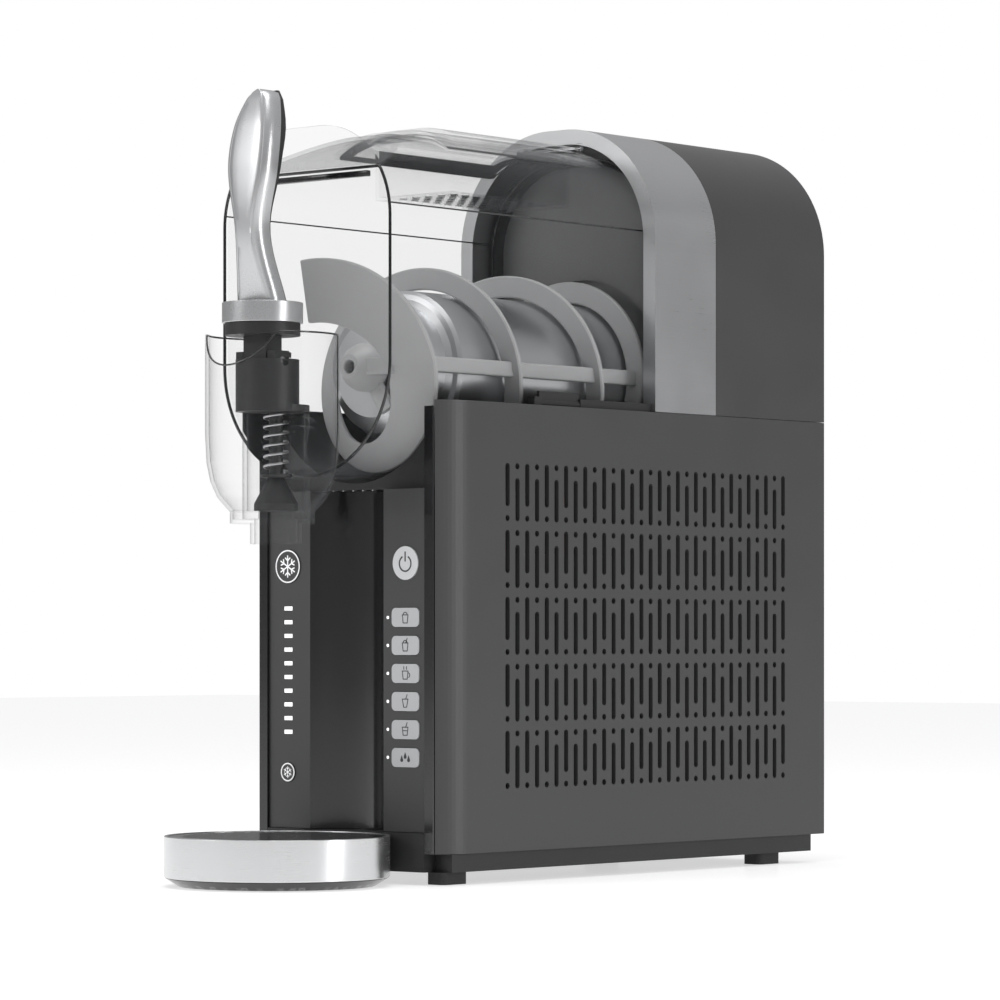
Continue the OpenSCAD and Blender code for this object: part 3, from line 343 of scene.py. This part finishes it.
def add_block(mesh: bmesh.types.BMesh, low: Point, high: Point, round_by: float) -> None:
    """Adds a box with rounded edges to a mesh.

    Args:
        mesh: The mesh that it joins.
        low: The box's lowest corner.
        high: The box's highest corner.
        round_by: Radius of its edges.
    """
    made = bmesh.ops.create_cube(mesh, size=1.0)["verts"]
    middle = (Vector(low) + Vector(high)) / 2
    size = Vector(high) - Vector(low)
    for vert in made:
        vert.co = middle + Vector(c * s for c, s in zip(vert.co, size))
    edges = list({e for v in made for e in v.link_edges})
    bmesh.ops.bevel(mesh, geom=edges, offset=round_by, segments=3, profile=0.5, affect="EDGES")


def add_tube(mesh: bmesh.types.BMesh, path: Sequence[Point], radius: float, sides: int = 10,
             closed: bool = False) -> None:
    """Adds a round tube that follows a path to a mesh.

    Args:
        mesh: The mesh that it joins.
        path: The points that the tube follows.
        radius: The tube's radius.
        sides: Number of sides.
        closed: Whether the path's end joins its start.
    """
    points = [Vector(p) for p in path]
    count = len(points)
    rows = []
    side = None
    for i, point in enumerate(points):
        before = points[i - 1] if closed or i else point
        after = points[(i + 1) % count] if closed or i < count - 1 else point
        along = (after - before).normalized()
        if side is None:
            side = along.orthogonal().normalized()
        side = (side - along * side.dot(along)).normalized()
        other = along.cross(side)
        rows.append([mesh.verts.new(point + radius * (math.cos(a) * side + math.sin(a) * other))
                     for a in (2 * math.pi * k / sides for k in range(sides))])
    pairs = list(zip(rows, rows[1:])) + ([(rows[-1], rows[0])] if closed else [])
    for a, b in pairs:
        for i in range(sides):
            j = (i + 1) % sides
            mesh.faces.new((a[i], a[j], b[j], b[i]))
    if not closed:
        mesh.faces.new(rows[0])
        mesh.faces.new(rows[-1])


def eased(t: float) -> float:
    """Smooth step from 0 to 1."""
    v = min(max(t, 0.0), 1.0)
    return v * v * (3 - 2 * v)


def joint_place(name: str) -> Vector:
    """Where a joint's axis passes, in the frame."""
    return Vector(next(j["pos_m"] for j in frame["joints"] if j["name"] == name))


@dataclass
class CadNodes:
    """Dresses the nodes that stay as they are, with a small round on the edges that catch light."""

    edge_round: float = 0.4 * MM
    sharp_deg: float = 32.0
    rounded: Tuple[str, ...] = (
        "handle_collar", "tray_band", "tray_grille", "tray_basin", "power_button", "colder_key",
        "warmer_key", "mode_key_1", "mode_key_2", "mode_key_3", "mode_key_4", "mode_key_5",
        "mode_key_6", "feet", "tap_body", "right_latch", "left_latch", "power_inlet")
    thin_clear: Tuple[str, ...] = ("splash_guard", "spout_ring", "fill_basket", "fill_lid")

    def dress(self) -> None:
        """Gives every node its finish, and rounds the edges of the chosen ones."""
        slots = {s["node"]: s["material_slot"] for s in frame["record"]["subparts"]}
        for name, node in sorted(frame["nodes"].items()):
            material = finish_of(slots[name])
            if name == "tray_band":
                material = TRAY_BRUSHED.material()
            if name in self.thin_clear:
                material = CLEAR_THIN.material()
            node.data.materials.clear()
            node.data.materials.append(material)
            if name in self.rounded:
                self.soften(name, node)
            log.info("%s: dressed as %s", name, material.name)

    def soften(self, name: str, node: bpy.types.Object) -> None:
        """Welds a node's faces and rounds its sharp edges.

        Args:
            name: The node's name.
            node: Its object.
        """
        low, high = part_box(name)
        weld = node.modifiers.new("weld", "WELD")
        weld.merge_threshold = 2e-6
        bevel = node.modifiers.new("edges", "BEVEL")
        bevel.width = min(self.edge_round, min(high - low) * 0.12)
        bevel.segments = 3
        bevel.limit_method = "ANGLE"
        bevel.angle_limit = math.radians(self.sharp_deg)
        even = node.modifiers.new("even", "WEIGHTED_NORMAL")
        even.keep_sharp = False
        even.weight = 80
        node.data.shade_smooth()


@dataclass
class Auger:
    """Grey scraper: a helical ribbon on a hub, two spokes, long bars and an end ring."""

    pitch: float = 75 * MM
    blade_pitch: float = 126 * MM
    ribbon_width: float = 13 * MM
    ribbon_thick: float = 3.4 * MM
    nose_width: float = 37 * MM
    hub_radius: float = 14 * MM
    bore: float = 4 * MM
    zero_from_front: float = 36.7 * MM
    hub_from_front: float = 29.7 * MM
    hub_length: float = 19 * MM
    widen_from: float = 41.7 * MM
    widen_over: float = 22 * MM
    steps_per_turn: int = 96

    def inner_radius(self, outer: float, y: float, front: float) -> float:
        """Inner radius of the ribbon, which reaches in towards the hub at the front.

        Args:
            outer: Outer radius.
            y: Place along the axis.
            front: Place of the auger's front end.

        Returns:
            The inner radius there.
        """
        wide = outer - self.nose_width
        narrow = outer - self.ribbon_width
        return wide + (narrow - wide) * eased((y - front - self.widen_from) / self.widen_over)

    def build(self) -> None:
        """Builds the auger and puts it in the place of its node."""
        low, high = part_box("auger")
        axis = joint_place("auger_spin")
        outer = high.z - axis.z
        start = low.y + self.ribbon_thick / 2
        end = high.y - 2.4 * MM
        zero = low.y + self.zero_from_front
        count = math.ceil((end - start) / self.pitch * self.steps_per_turn)
        half = self.ribbon_thick / 2
        soft = 0.8 * MM
        rings = []
        for i in range(count + 1):
            y = start + (end - start) * i / count
            a = (zero - y) / (self.blade_pitch if y < zero else self.pitch) * 2 * math.pi
            inner = self.inner_radius(outer, y, low.y)
            section = [(inner, -half + soft), (inner + soft, -half), (outer - soft, -half),
                       (outer, -half + soft), (outer, half - soft), (outer - soft, half),
                       (inner + soft, half), (inner, half - soft)]
            rings.append([(r * math.cos(a), y + d, axis.z + r * math.sin(a)) for r, d in section])
        mesh = loft(rings)
        hub_front = low.y + self.hub_from_front
        for part in (self.hub(axis, hub_front), self.end_ring(axis, outer, end)):
            data = bpy.data.meshes.new("part")
            part.to_mesh(data)
            part.free()
            mesh.from_mesh(data)
            bpy.data.meshes.remove(data)
        bar = outer - self.ribbon_width + 2 * MM
        arm = outer - self.nose_width + 5 * MM
        add_block(mesh, (8 * MM, zero - 3 * MM, axis.z - 5 * MM),
                  (arm, zero + 6 * MM, axis.z + 5 * MM), MM)
        hub_back = hub_front + self.hub_length
        before = set(mesh.verts)
        add_block(mesh, (10 * MM, hub_back - 4 * MM, -5 * MM), (arm, hub_back, 5 * MM), MM)
        turn = Matrix.Translation((0, 0, axis.z)) @ Matrix.Rotation(math.radians(60), 4, "Y")
        bmesh.ops.transform(mesh, matrix=turn, verts=[v for v in mesh.verts if v not in before])
        for side, first in ((1, zero), (-1, zero + self.pitch / 2)):
            edge = sorted((side * bar, side * (bar + 6 * MM)))
            add_block(mesh, (edge[0], first, axis.z - 4.5 * MM),
                      (edge[1], end, axis.z + 4.5 * MM), 1.2 * MM)
        made = new_piece("auger_flight", mesh, FINISHES["auger_grey"].material(), "auger")
        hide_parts("auger")

    def hub(self, axis: Vector, front: float) -> bmesh.types.BMesh:
        """Tapered hub with a small front face, a bore and the drive socket behind."""
        r = self.hub_radius
        back = front + self.hub_length
        socket = 8.4 * MM
        profile = [(self.bore, front + 0.5 * MM), (self.bore + 0.5 * MM, front), (7.0 * MM, front),
                   (7.7 * MM, front + 0.7 * MM), (12 * MM, front + 6 * MM),
                   (r - 0.6 * MM, front + 9.6 * MM),
                   (r, front + 11 * MM), (r, back - 0.6 * MM), (r - 0.6 * MM, back), (socket, back),
                   (socket, front + 8 * MM), (self.bore, front + 8 * MM)]
        return turned([(p, y - axis.y) for p, y in profile], tuple(axis), "Y")

    def end_ring(self, axis: Vector, outer: float, end: float) -> bmesh.types.BMesh:
        """Flat ring that closes the ribbon at its rear end."""
        inner = outer - self.ribbon_width
        soft = 0.7 * MM
        near, far = end - MM - axis.y, end + 2.4 * MM - axis.y
        profile = [(inner, near + soft), (inner + soft, near), (outer - soft, near),
                   (outer, near + soft), (outer, far - soft), (outer - soft, far),
                   (inner + soft, far), (inner, far - soft)]
        return turned(profile, tuple(axis), "Y", 128)


@dataclass
class Handle:
    """Tap handle: a satin silver front with rolled sides, on the core that stays as its node."""

    keys: Tuple[Tuple[float, float, float, float], ...] = (
        (0.0, -0.5, 29.0, 3.2), (0.33, -8.3, 18.5, 2.8), (0.62, -6.4, 30.0, 6.0),
        (0.82, -1.5, 28.0, 8.4), (0.96, 2.5, 17.0, 6.0), (1.0, 4.0, 9.0, 4.0))
    face_depth: float = 12.0
    rings: int = 72

    def slope(self, i: int, column: int) -> float:
        """Slope of a key column at a key."""
        a, b = max(i - 1, 0), min(i + 1, len(self.keys) - 1)
        return (self.keys[b][column] - self.keys[a][column]) / (self.keys[b][0] - self.keys[a][0])

    def keyed(self, t: float, column: int) -> float:
        """Value of a key column at a share of the height.

        Args:
            t: Share of the height, from 0 to 1.
            column: 1 for the lean, 2 for the width, 3 for the back's depth.

        Returns:
            The value there, in millimetres.
        """
        i = max(k for k in range(len(self.keys) - 1) if t >= self.keys[k][0])
        a, b = self.keys[i], self.keys[i + 1]
        h = b[0] - a[0]
        u = (t - a[0]) / h
        return (a[column] * (1 + 2 * u) * (1 - u) ** 2 + b[column] * u * u * (3 - 2 * u)
                + h * self.slope(i, column) * u * (1 - u) ** 2
                - h * self.slope(i + 1, column) * u * u * (1 - u))

    def height(self, t: float) -> float:
        """Height above the worktop at a share of the handle's height."""
        low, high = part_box("handle_front")
        return low.z + (high.z - low.z) * t

    def front_at(self, t: float) -> float:
        """Place of the front face at a share of the handle's height."""
        pin = joint_place("handle_tilt").y
        return pin + (self.keyed(t, 1) - (self.face_depth + self.keyed(t, 3)) / 2) * MM

    def tip(self, t: float) -> float:
        """Share of the full section that is left near the rounded top."""
        start = 0.955
        if t <= start:
            return 1.0
        return max(0.12, math.sqrt(max(0.0, 1 - ((t - start) / (1 - start)) ** 2)))

    def front_ring(self, t: float) -> List[Point]:
        """Section of the silver front."""
        half = self.keyed(min(t, 0.97), 2) / 2 * self.tip(t)
        scale = min(1.0, half / 5)
        outline = [(half, self.face_depth), (half + 0.35, 9.0), (half + 0.4, 6.5), (half + 0.1, 4.2),
                   (half - 0.7, 2.4), (half - 1.6, 1.3), (half - 2.5, 0.9), (half - 2.9, 1.1),
                   (half - 3.3, 0.9), (half - 4.1, 0.35)]
        outline = [(max(0.3, half + (x - half) * scale), y) for x, y in outline]
        flat = [(half * share, 0.35 * share * share) for share in (0.55, 0.25)]
        right = outline + flat
        both = right + [(-x, y) for x, y in reversed(right)]
        y0, z = self.front_at(t), self.height(t)
        return [(x * MM, y0 + y * MM, z) for x, y in both]

    def build(self) -> None:
        """Builds the silver front; the black core and the collar stay as their nodes."""
        shares = [i / self.rings for i in range(self.rings + 1)]
        front = new_piece("handle_face", loft([self.front_ring(t) for t in shares]),
                          FINISHES["handle_silver"].material(), "handle")
        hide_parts("handle_front")


@dataclass
class Printed:
    """Marks printed on the keys: thin raised shapes just proud of the cap."""

    proud: float = 0.12 * MM
    stroke: float = 0.75 * MM

    def bar(self, mesh: bmesh.types.BMesh, x0: float, z0: float, x1: float, z1: float, y: float,
            width: Optional[float] = None) -> None:
        """Adds a straight stroke with round-looking ends.

        Args:
            mesh: The mesh that it joins.
            x0: Start, across.
            z0: Start, up.
            x1: End, across.
            z1: End, up.
            y: Place of the surface that it is printed on.
            width: Stroke width, where it isn't the usual one.
        """
        half = (width or self.stroke) / 2
        along = Vector((x1 - x0, z1 - z0))
        unit = along.normalized()
        side = Vector((-unit.y, unit.x)) * half
        corners = []
        for end, sign in (((x0, z0), -1), ((x1, z1), 1)):
            for k in range(7):
                a = -math.pi / 2 + math.pi * k / 6
                offset = side * (-math.sin(a)) * sign * -1 + unit * (half * math.cos(a) * sign)
                corners.append((end[0] + offset.x, end[1] + offset.y))
        self.plate(mesh, corners, y)

    def plate(self, mesh: bmesh.types.BMesh, outline: Sequence[Flat], y: float) -> None:
        """Adds a thin plate with a given outline.

        Args:
            mesh: The mesh that it joins.
            outline: The outline's points, across and up.
            y: Place of the surface that it is printed on.
        """
        front = [mesh.verts.new((x, y - self.proud, z)) for x, z in outline]
        back = [mesh.verts.new((x, y + 0.02 * MM, z)) for x, z in outline]
        mesh.faces.new(front)
        mesh.faces.new(list(reversed(back)))
        for i in range(len(outline)):
            j = (i + 1) % len(outline)
            mesh.faces.new((front[i], front[j], back[j], back[i]))

    def ring(self, mesh: bmesh.types.BMesh, x: float, z: float, radius: float, y: float,
             width: Optional[float] = None, first: float = 0.0, last: float = 360.0) -> None:
        """Adds a ring, or a part of one.

        Args:
            mesh: The mesh that it joins.
            x: Centre, across.
            z: Centre, up.
            radius: Mean radius.
            y: Place of the surface that it is printed on.
            width: Stroke width, where it isn't the usual one.
            first: Angle where it starts, in degrees.
            last: Angle where it ends, in degrees.
        """
        half = (width or self.stroke) / 2
        steps = 56
        angles = [math.radians(first + (last - first) * k / steps) for k in range(steps + 1)]
        for a, b in zip(angles, angles[1:]):
            outline = [(x + r * math.cos(t), z + r * math.sin(t))
                       for r, t in ((radius - half, a), (radius + half, a),
                                    (radius + half, b), (radius - half, b))]
            self.plate(mesh, outline, y)

    def snowflake(self, mesh: bmesh.types.BMesh, x: float, z: float, size: float, y: float) -> None:
        """Adds a six-armed snowflake, each arm with one fork."""
        width = size * 0.13
        for k in range(6):
            a = math.radians(30 + 60 * k)
            tip = (x + size * math.cos(a), z + size * math.sin(a))
            self.bar(mesh, x, z, *tip, y, width)
            root = (x + 0.55 * size * math.cos(a), z + 0.55 * size * math.sin(a))
            for lean in (-50, 50):
                b = a + math.radians(lean)
                self.bar(mesh, *root, root[0] + 0.38 * size * math.cos(b),
                         root[1] + 0.38 * size * math.sin(b), y, width)


class Drink(Enum):
    """Pictogram on a mode key: what stands in or over the glass."""

    SLUSH = "slush"
    STRONG = "strong"
    COFFEE = "coffee"
    SHAKE = "shake"
    JUICE = "juice"
    RINSE = "rinse"


@dataclass
class Controls:
    """Printed marks on the keys and white printed rims round the level keys, whose white print has a painted glow.
    """

    marks: Printed = field(default_factory=Printed)

    def centre(self, node: str) -> Tuple[float, float, float]:
        """Middle of a key, and the place of its face.

        Args:
            node: The key's node.

        Returns:
            Across, up, and the face's place.
        """
        low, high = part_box(node)
        return (low.x + high.x) / 2, (low.z + high.z) / 2, low.y

    def build(self) -> None:
        """Builds every mark."""
        self.power()
        self.level("colder_key", "colder", 0.55)
        self.level("warmer_key", "warmer", 0.5)
        for number, drink in enumerate(Drink, 1):
            self.mode(number, drink)

    def power(self) -> None:
        """Power symbol on the power button."""
        x, z, y = self.centre("power_button")
        mesh = bmesh.new()
        self.marks.ring(mesh, x, z - 0.3 * MM, 4.4 * MM, y, 0.9 * MM, 118, 422)
        self.marks.bar(mesh, x, z + 1.2 * MM, x, z + 6.2 * MM, y, 0.9 * MM)
        new_piece("power_mark", mesh, PRINT_DARK.material(), "power", False)

    def level(self, node: str, body: str, share: float) -> None:
        """Snowflake and rim on a level key.

        Args:
            node: The key's node.
            body: The body that it rides on.
            share: Size of the snowflake as a share of the key's radius.
        """
        x, z, y = self.centre(node)
        low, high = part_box(node)
        radius = (high.x - low.x) / 2
        mesh = bmesh.new()
        self.marks.ring(mesh, x, z, radius - 0.55 * MM, y, 0.8 * MM)
        self.marks.snowflake(mesh, x, z, radius * share * 1.15, y)
        # The rim and snowflake take the white print with its painted glow.
        new_piece(body + "_mark", mesh, PRINT_WHITE_GLOWING.material(), body, False)

    def mode(self, number: int, drink: Drink) -> None:
        """Pictogram of a drink on a mode key.

        Args:
            number: The key's number, from 1.
            drink: What its pictogram shows.
        """
        x, z, y = self.centre(f"mode_key_{number}")
        mesh = bmesh.new()
        bar = self.marks.bar
        wide, tall = 2.2 * MM, 3.2 * MM
        thin = 0.5 * MM
        if drink is not Drink.RINSE:
            foot = wide * (0.5 if drink is Drink.SHAKE else 0.7)
            bar(mesh, x - wide, z + 1.4 * MM, x - foot, z - tall, y, thin)
            bar(mesh, x + wide, z + 1.4 * MM, x + foot, z - tall, y, thin)
            bar(mesh, x - foot, z - tall, x + foot, z - tall, y, thin)
            bar(mesh, x - wide, z + 1.4 * MM, x + wide, z + 1.4 * MM, y, thin)
        if drink in (Drink.SLUSH, Drink.STRONG):
            self.marks.ring(mesh, x, z + 1.4 * MM, 1.5 * MM, y, thin, 0, 180)
        if drink in (Drink.SHAKE, Drink.STRONG, Drink.JUICE):
            bar(mesh, x + 0.4 * MM, z + 1.4 * MM, x + 1.5 * MM, z + 4.0 * MM, y, thin)
        if drink is Drink.COFFEE:
            self.marks.ring(mesh, x + wide, z - 0.9 * MM, 1.3 * MM, y, thin, -80, 80)
            for step in (-1.0, 1.0):
                bar(mesh, x + step * MM, z + 2.4 * MM, x + step * MM, z + 3.9 * MM, y, thin)
        if drink is Drink.JUICE:
            bar(mesh, x - 1.3 * MM, z - 0.6 * MM, x + 1.3 * MM, z - 0.6 * MM, y, thin)
        if drink is Drink.RINSE:
            for dx, dz in ((-2.6, -0.6), (0.0, 1.2), (2.6, -0.6)):
                self.drop(mesh, x + dx * MM, z + dz * MM, y)
        new_piece(f"mode_mark_{number}", mesh, PRINT_DARK.material(), f"mode_{number}",
                  False)

    def drop(self, mesh: bmesh.types.BMesh, x: float, z: float, y: float) -> None:
        """Water drop: a round belly drawn up to a point."""
        belly = 1.05 * MM
        outline = [(x + belly * math.cos(a), z - 0.8 * MM + belly * math.sin(a))
                   for a in (math.radians(d) for d in range(-210, 31, 15))]
        self.marks.plate(mesh, outline + [(x, z + 2.0 * MM)], y)


@dataclass
class VesselLines:
    """Fine dark lines along the clear vessel's front rim, roof corner, side fold and rear bead: painted shade and
    reflection for the dark look of clear plastic at its edges, plus a painted dark reflection bar at the front
    top.
    """

    rim: float = 0.9 * MM
    roof_drop: float = 26 * MM
    fold_drop: float = 47 * MM
    top_radius: float = 54 * MM
    bead: float = 1.4 * MM
    bead_line: float = 0.6 * MM
    hinge_drop: float = 4.5 * MM

    def outline(self, y: float, inset: float, half: float, top: float, axis_z: float,
                limit: Optional[float] = None) -> List[Point]:
        """Outline of the vessel at a place along its length.

        Args:
            y: Place along the length.
            inset: How far inside the outer surface the line runs.
            half: Half width of the vessel.
            top: Height of its top.
            axis_z: Height of the auger's axis.
            limit: Height where the roof cuts it off, if it does.

        Returns:
            The closed outline's points.
        """
        r = half - inset
        corner = self.top_radius - inset
        side_z = top - self.top_radius
        points = [(r * math.cos(a), axis_z + r * math.sin(a))
                  for a in (math.radians(-180 + 3 * k) for k in range(61))]
        points += [(r - corner + corner * math.cos(a), side_z + corner * math.sin(a))
                   for a in (math.radians(3 * k) for k in range(31))]
        points += [(-(r - corner) + corner * math.cos(a), side_z + corner * math.sin(a))
                   for a in (math.radians(90 + 3 * k) for k in range(31))]
        if limit is not None:
            points = [(x, min(z, limit)) for x, z in points]
        kept: List[Flat] = []
        for point in points:
            if not kept or (Vector(point) - Vector(kept[-1])).length > 0.3 * MM:
                kept.append(point)
        return [(x, y, z) for x, z in kept]

    def build(self) -> None:
        """Builds the painted dark edge lines and the painted dark reflection bar at the front top, which ride on
        the vessel.
        """
        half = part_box("vessel")[1].x - self.bead
        axis_z = joint_place("auger_spin").z
        top = joint_place("lid_hinge").z - self.hinge_drop
        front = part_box("splash_guard")[1].y
        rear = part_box("vessel")[1].y
        # Gloss black tubes painted along the clear edges, as painted shade and reflection where clear plastic
        # looks dark.
        mesh = bmesh.new()
        add_tube(mesh, self.outline(front + self.rim, self.rim, half, top, axis_z, top - self.roof_drop),
                 self.rim, closed=True)
        add_tube(mesh, self.outline(rear - 0.7 * MM, self.bead_line - self.bead, half, top, axis_z),
                 self.bead_line, closed=True)
        fold = top - self.fold_drop
        for side in (-1, 1):
            x = side * (half - 0.9 * MM)
            add_tube(mesh, [(x, front + 2 * MM, fold), (x, rear - 2 * MM, fold)], 0.45 * MM)
        new_piece("vessel_painted_edge_lines", mesh, FINISHES["gloss_black"].material(), "vessel_unit")
        # Black bar that paints the dark reflection in the vessel's curved front top; it is no seal.
        bar = bmesh.new()
        span = half - 20 * MM
        height = top - self.roof_drop - 3.2 * MM
        add_block(bar, (-span, front + 2.3 * MM, height - 1.7 * MM),
                  (span, front + 6 * MM, height + 1.7 * MM), 0.6 * MM)
        new_piece("vessel_painted_reflection_bar", bar, FINISHES["gloss_black"].material(),
                  "vessel_unit")


@dataclass
class GuardLines:
    """Fine dark lines along the clear splash guard's scooped top edge and its edges by the vessel: painted shade
    and reflection for the dark look of clear plastic at its edges.
    """

    line: float = 0.5 * MM
    inset: float = 1.0 * MM
    scoop_radius: float = 29 * MM
    scoop_rise: float = 10.5 * MM
    narrowing: Tuple[Flat, ...] = ((0.0, 44.0), (0.8, 28.0), (3.0, 17.0), (7.0, 8.0), (14.0, 0.0))

    def build(self) -> None:
        """Builds the painted dark edge lines as one piece that rides on the vessel."""
        low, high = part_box("splash_guard")
        radius = high.x
        middle = low.y + radius
        behind = high.y - self.line - middle
        wall = radius - self.inset
        mesh = bmesh.new()
        top = []
        first = math.asin(behind / wall)
        for k in range(61):
            a = math.pi - first + (math.pi + 2 * first) * k / 60
            x, y = wall * math.cos(a), middle - wall * math.sin(a - math.pi)
            z = high.z
            if abs(x) < self.scoop_radius:
                z = min(z, high.z + self.scoop_rise - math.sqrt(self.scoop_radius ** 2 - x * x))
            top.append((x, y, z - self.line))
        add_tube(mesh, top, self.line)
        for side in (-1, 1):
            edge = [(wall, high.z - self.line)]
            edge += [(wall - n * MM, max(low.z + up * MM, low.z + self.line))
                     for n, up in self.narrowing]
            path = [(side * math.sqrt(r * r - behind * behind), middle + behind, z)
                    for r, z in edge if r > behind]
            add_tube(mesh, path, self.line)
        # Gloss black tubes painted along the guard's clear edges, as painted shade and reflection.
        new_piece("guard_painted_edge_lines", mesh, FINISHES["gloss_black"].material(), "vessel_unit")


@dataclass
class Hardware:
    """Small pieces round the casing: inlet pins and the hood's cap."""

    def build(self) -> None:
        """Builds the mains inlet's three pins and the cap on the hood."""
        low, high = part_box("power_inlet")
        x, z = (low.x + high.x) / 2, (low.z + high.z) / 2
        mesh = bmesh.new()
        for dx, dz in ((-7, -2), (0, 2.5), (7, -2)):
            add_block(mesh, (x + (dx - 1) * MM, low.y + 4 * MM, z + (dz - 2) * MM),
                      (x + (dx + 1) * MM, high.y - 5 * MM, z + (dz + 2) * MM), 0.4 * MM)
        new_piece("inlet_pins", mesh, FINISHES["screw"].material(), "cabinet")
        low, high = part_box("rear_hood")
        centre = (0.0, low.y + 20 * MM, high.z)
        cap = turned([(0.05 * MM, -0.75 * MM), (7.6 * MM, -0.75 * MM), (7.6 * MM, -0.35 * MM),
                      (7.0 * MM, -0.05 * MM), (4.0 * MM, -0.02 * MM), (0.05 * MM, -0.02 * MM)],
                     centre, "Z", 64)
        new_piece("hood_cap", cap, FINISHES["gloss_black"].material(), "cabinet")


@dataclass
class Studio:
    """Pale floor, white surround, soft lights and the camera."""

    camera_place: Point = (1.6901, -1.9614, 0.1391)
    camera_turn_deg: Point = (90.0, 0.0, 40.5)
    lens: float = 155.9
    shift_up: float = 0.14
    room_strength: float = 0.8
    floor_glow: float = 0.76
    floor_gloss: float = 0.28

    def build(self) -> None:
        """Builds the floor, the world, the lights and the camera."""
        scene = bpy.context.scene
        scene.view_settings.view_transform = "Standard"
        self.surround()
        self.floor()
        self.softbox("key_left", (-1.2, -2.2, 1.3), 1.2, 1.1, 11.5)
        self.softbox("rim_right", (2.1, 0.35, 0.6), 0.4, 1.2, 8.0)
        self.softbox("rear_right", (1.5, 2.0, 0.9), 1.2, 0.8, 0.4)
        self.softbox("top", (0.2, -0.1, 2.1), 1.0, 1.4, 12.0)
        lens = bpy.data.cameras.new("camera")
        lens.lens = self.lens
        lens.sensor_width = 36.0
        lens.shift_y = self.shift_up
        lens.clip_end = 50.0
        camera = bpy.data.objects.new("camera", lens)
        camera.location = self.camera_place
        camera.rotation_euler = [math.radians(a) for a in self.camera_turn_deg]
        scene.collection.objects.link(camera)
        scene.camera = camera

    def surround(self) -> None:
        """White behind the machine, and a darker graded room for the light and the reflections."""
        world = bpy.data.worlds.new("studio")
        world.use_nodes = True
        nodes, links = world.node_tree.nodes, world.node_tree.links
        place = nodes.new("ShaderNodeTexCoord")
        split = nodes.new("ShaderNodeSeparateXYZ")
        links.new(place.outputs["Generated"], split.inputs["Vector"])
        grade = nodes.new("ShaderNodeValToRGB")
        stops = grade.color_ramp.elements
        stops[0].position, stops[0].color = 0.0, (0.55, 0.55, 0.55, 1.0)
        stops[1].position, stops[1].color = 1.0, (0.85, 0.85, 0.86, 1.0)
        middle = stops.new(0.5)
        middle.color = (0.30, 0.30, 0.305, 1.0)
        half = nodes.new("ShaderNodeMapRange")
        half.inputs["From Min"].default_value = -1.0
        links.new(split.outputs["Z"], half.inputs["Value"])
        links.new(half.outputs["Result"], grade.inputs["Fac"])
        room = nodes["Background"]
        links.new(grade.outputs["Color"], room.inputs["Color"])
        room.inputs["Strength"].default_value = self.room_strength
        white = nodes.new("ShaderNodeBackground")
        white.inputs["Color"].default_value = (1.0, 1.0, 1.0, 1.0)
        path = nodes.new("ShaderNodeLightPath")
        pick = nodes.new("ShaderNodeMixShader")
        links.new(path.outputs["Is Camera Ray"], pick.inputs["Fac"])
        links.new(room.outputs["Background"], pick.inputs[1])
        links.new(white.outputs["Background"], pick.inputs[2])
        links.new(pick.outputs["Shader"], nodes["World Output"].inputs["Surface"])
        bpy.context.scene.world = world

    def floor(self) -> None:
        """White floor just under the feet, with a faint mirror image and soft contact shadows."""
        half, drop = 6.0, 0.0004
        data = bpy.data.meshes.new("floor")
        corners = [(x * half, y * half, -drop) for x, y in ((-1, -1), (1, -1), (1, 1), (-1, 1))]
        data.from_pydata(corners, [], [(0, 1, 2, 3)])
        data.materials.append(self.floor_material())
        floor = bpy.data.objects.new("floor", data)
        bpy.context.scene.collection.objects.link(floor)

    def floor_material(self) -> bpy.types.Material:
        """Builds the floor's material: a lit matt white with a share of gloss.

        Returns:
            The floor's material.
        """
        made = bpy.data.materials.new("white_floor")
        made.use_nodes = True
        nodes, links = made.node_tree.nodes, made.node_tree.links
        nodes.remove(nodes["Principled BSDF"])
        matt = nodes.new("ShaderNodeBsdfDiffuse")
        matt.inputs["Color"].default_value = (0.86, 0.86, 0.86, 1.0)
        lit = nodes.new("ShaderNodeEmission")
        lit.inputs["Strength"].default_value = self.floor_glow
        both = nodes.new("ShaderNodeAddShader")
        links.new(matt.outputs["BSDF"], both.inputs[0])
        links.new(lit.outputs["Emission"], both.inputs[1])
        gloss = nodes.new("ShaderNodeBsdfGlossy")
        gloss.inputs["Roughness"].default_value = 0.06
        share = nodes.new("ShaderNodeMixShader")
        share.inputs["Fac"].default_value = self.floor_gloss
        links.new(both.outputs["Shader"], share.inputs[1])
        links.new(gloss.outputs["BSDF"], share.inputs[2])
        links.new(share.outputs["Shader"], nodes["Material Output"].inputs["Surface"])
        return made

    def softbox(self, name: str, place: Point, width: float, height: float, power: float) -> None:
        """Area light that faces the middle of the machine.

        Args:
            name: The light's name.
            place: Where it stands.
            width: Its width.
            height: Its height.
            power: Its power in watts.
        """
        data = bpy.data.lights.new(name, "AREA")
        data.shape = "RECTANGLE"
        data.size, data.size_y = width, height
        data.energy = power
        light = bpy.data.objects.new(name, data)
        light.location = place
        aim = Vector((0.0, 0.0, 0.22)) - Vector(place)
        light.rotation_euler = aim.to_track_quat("-Z", "Y").to_euler()
        bpy.context.scene.collection.objects.link(light)


def main() -> None:
    logging.basicConfig(level=logging.INFO, format="%(name)s: %(message)s")
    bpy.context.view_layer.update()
    steps: Dict[str, Callable[[], None]] = {
        "studio": Studio().build,
        "nodes": CadNodes().dress,
        "auger": Auger().build,
        "handle": Handle().build,
        "controls": Controls().build,
        "vessel lines": VesselLines().build,
        "guard lines": GuardLines().build,
        "hardware": Hardware().build,
    }
    for name, step in steps.items():
        step()
        log.info("%s: done", name)


if __name__ == "__main__":
    main()
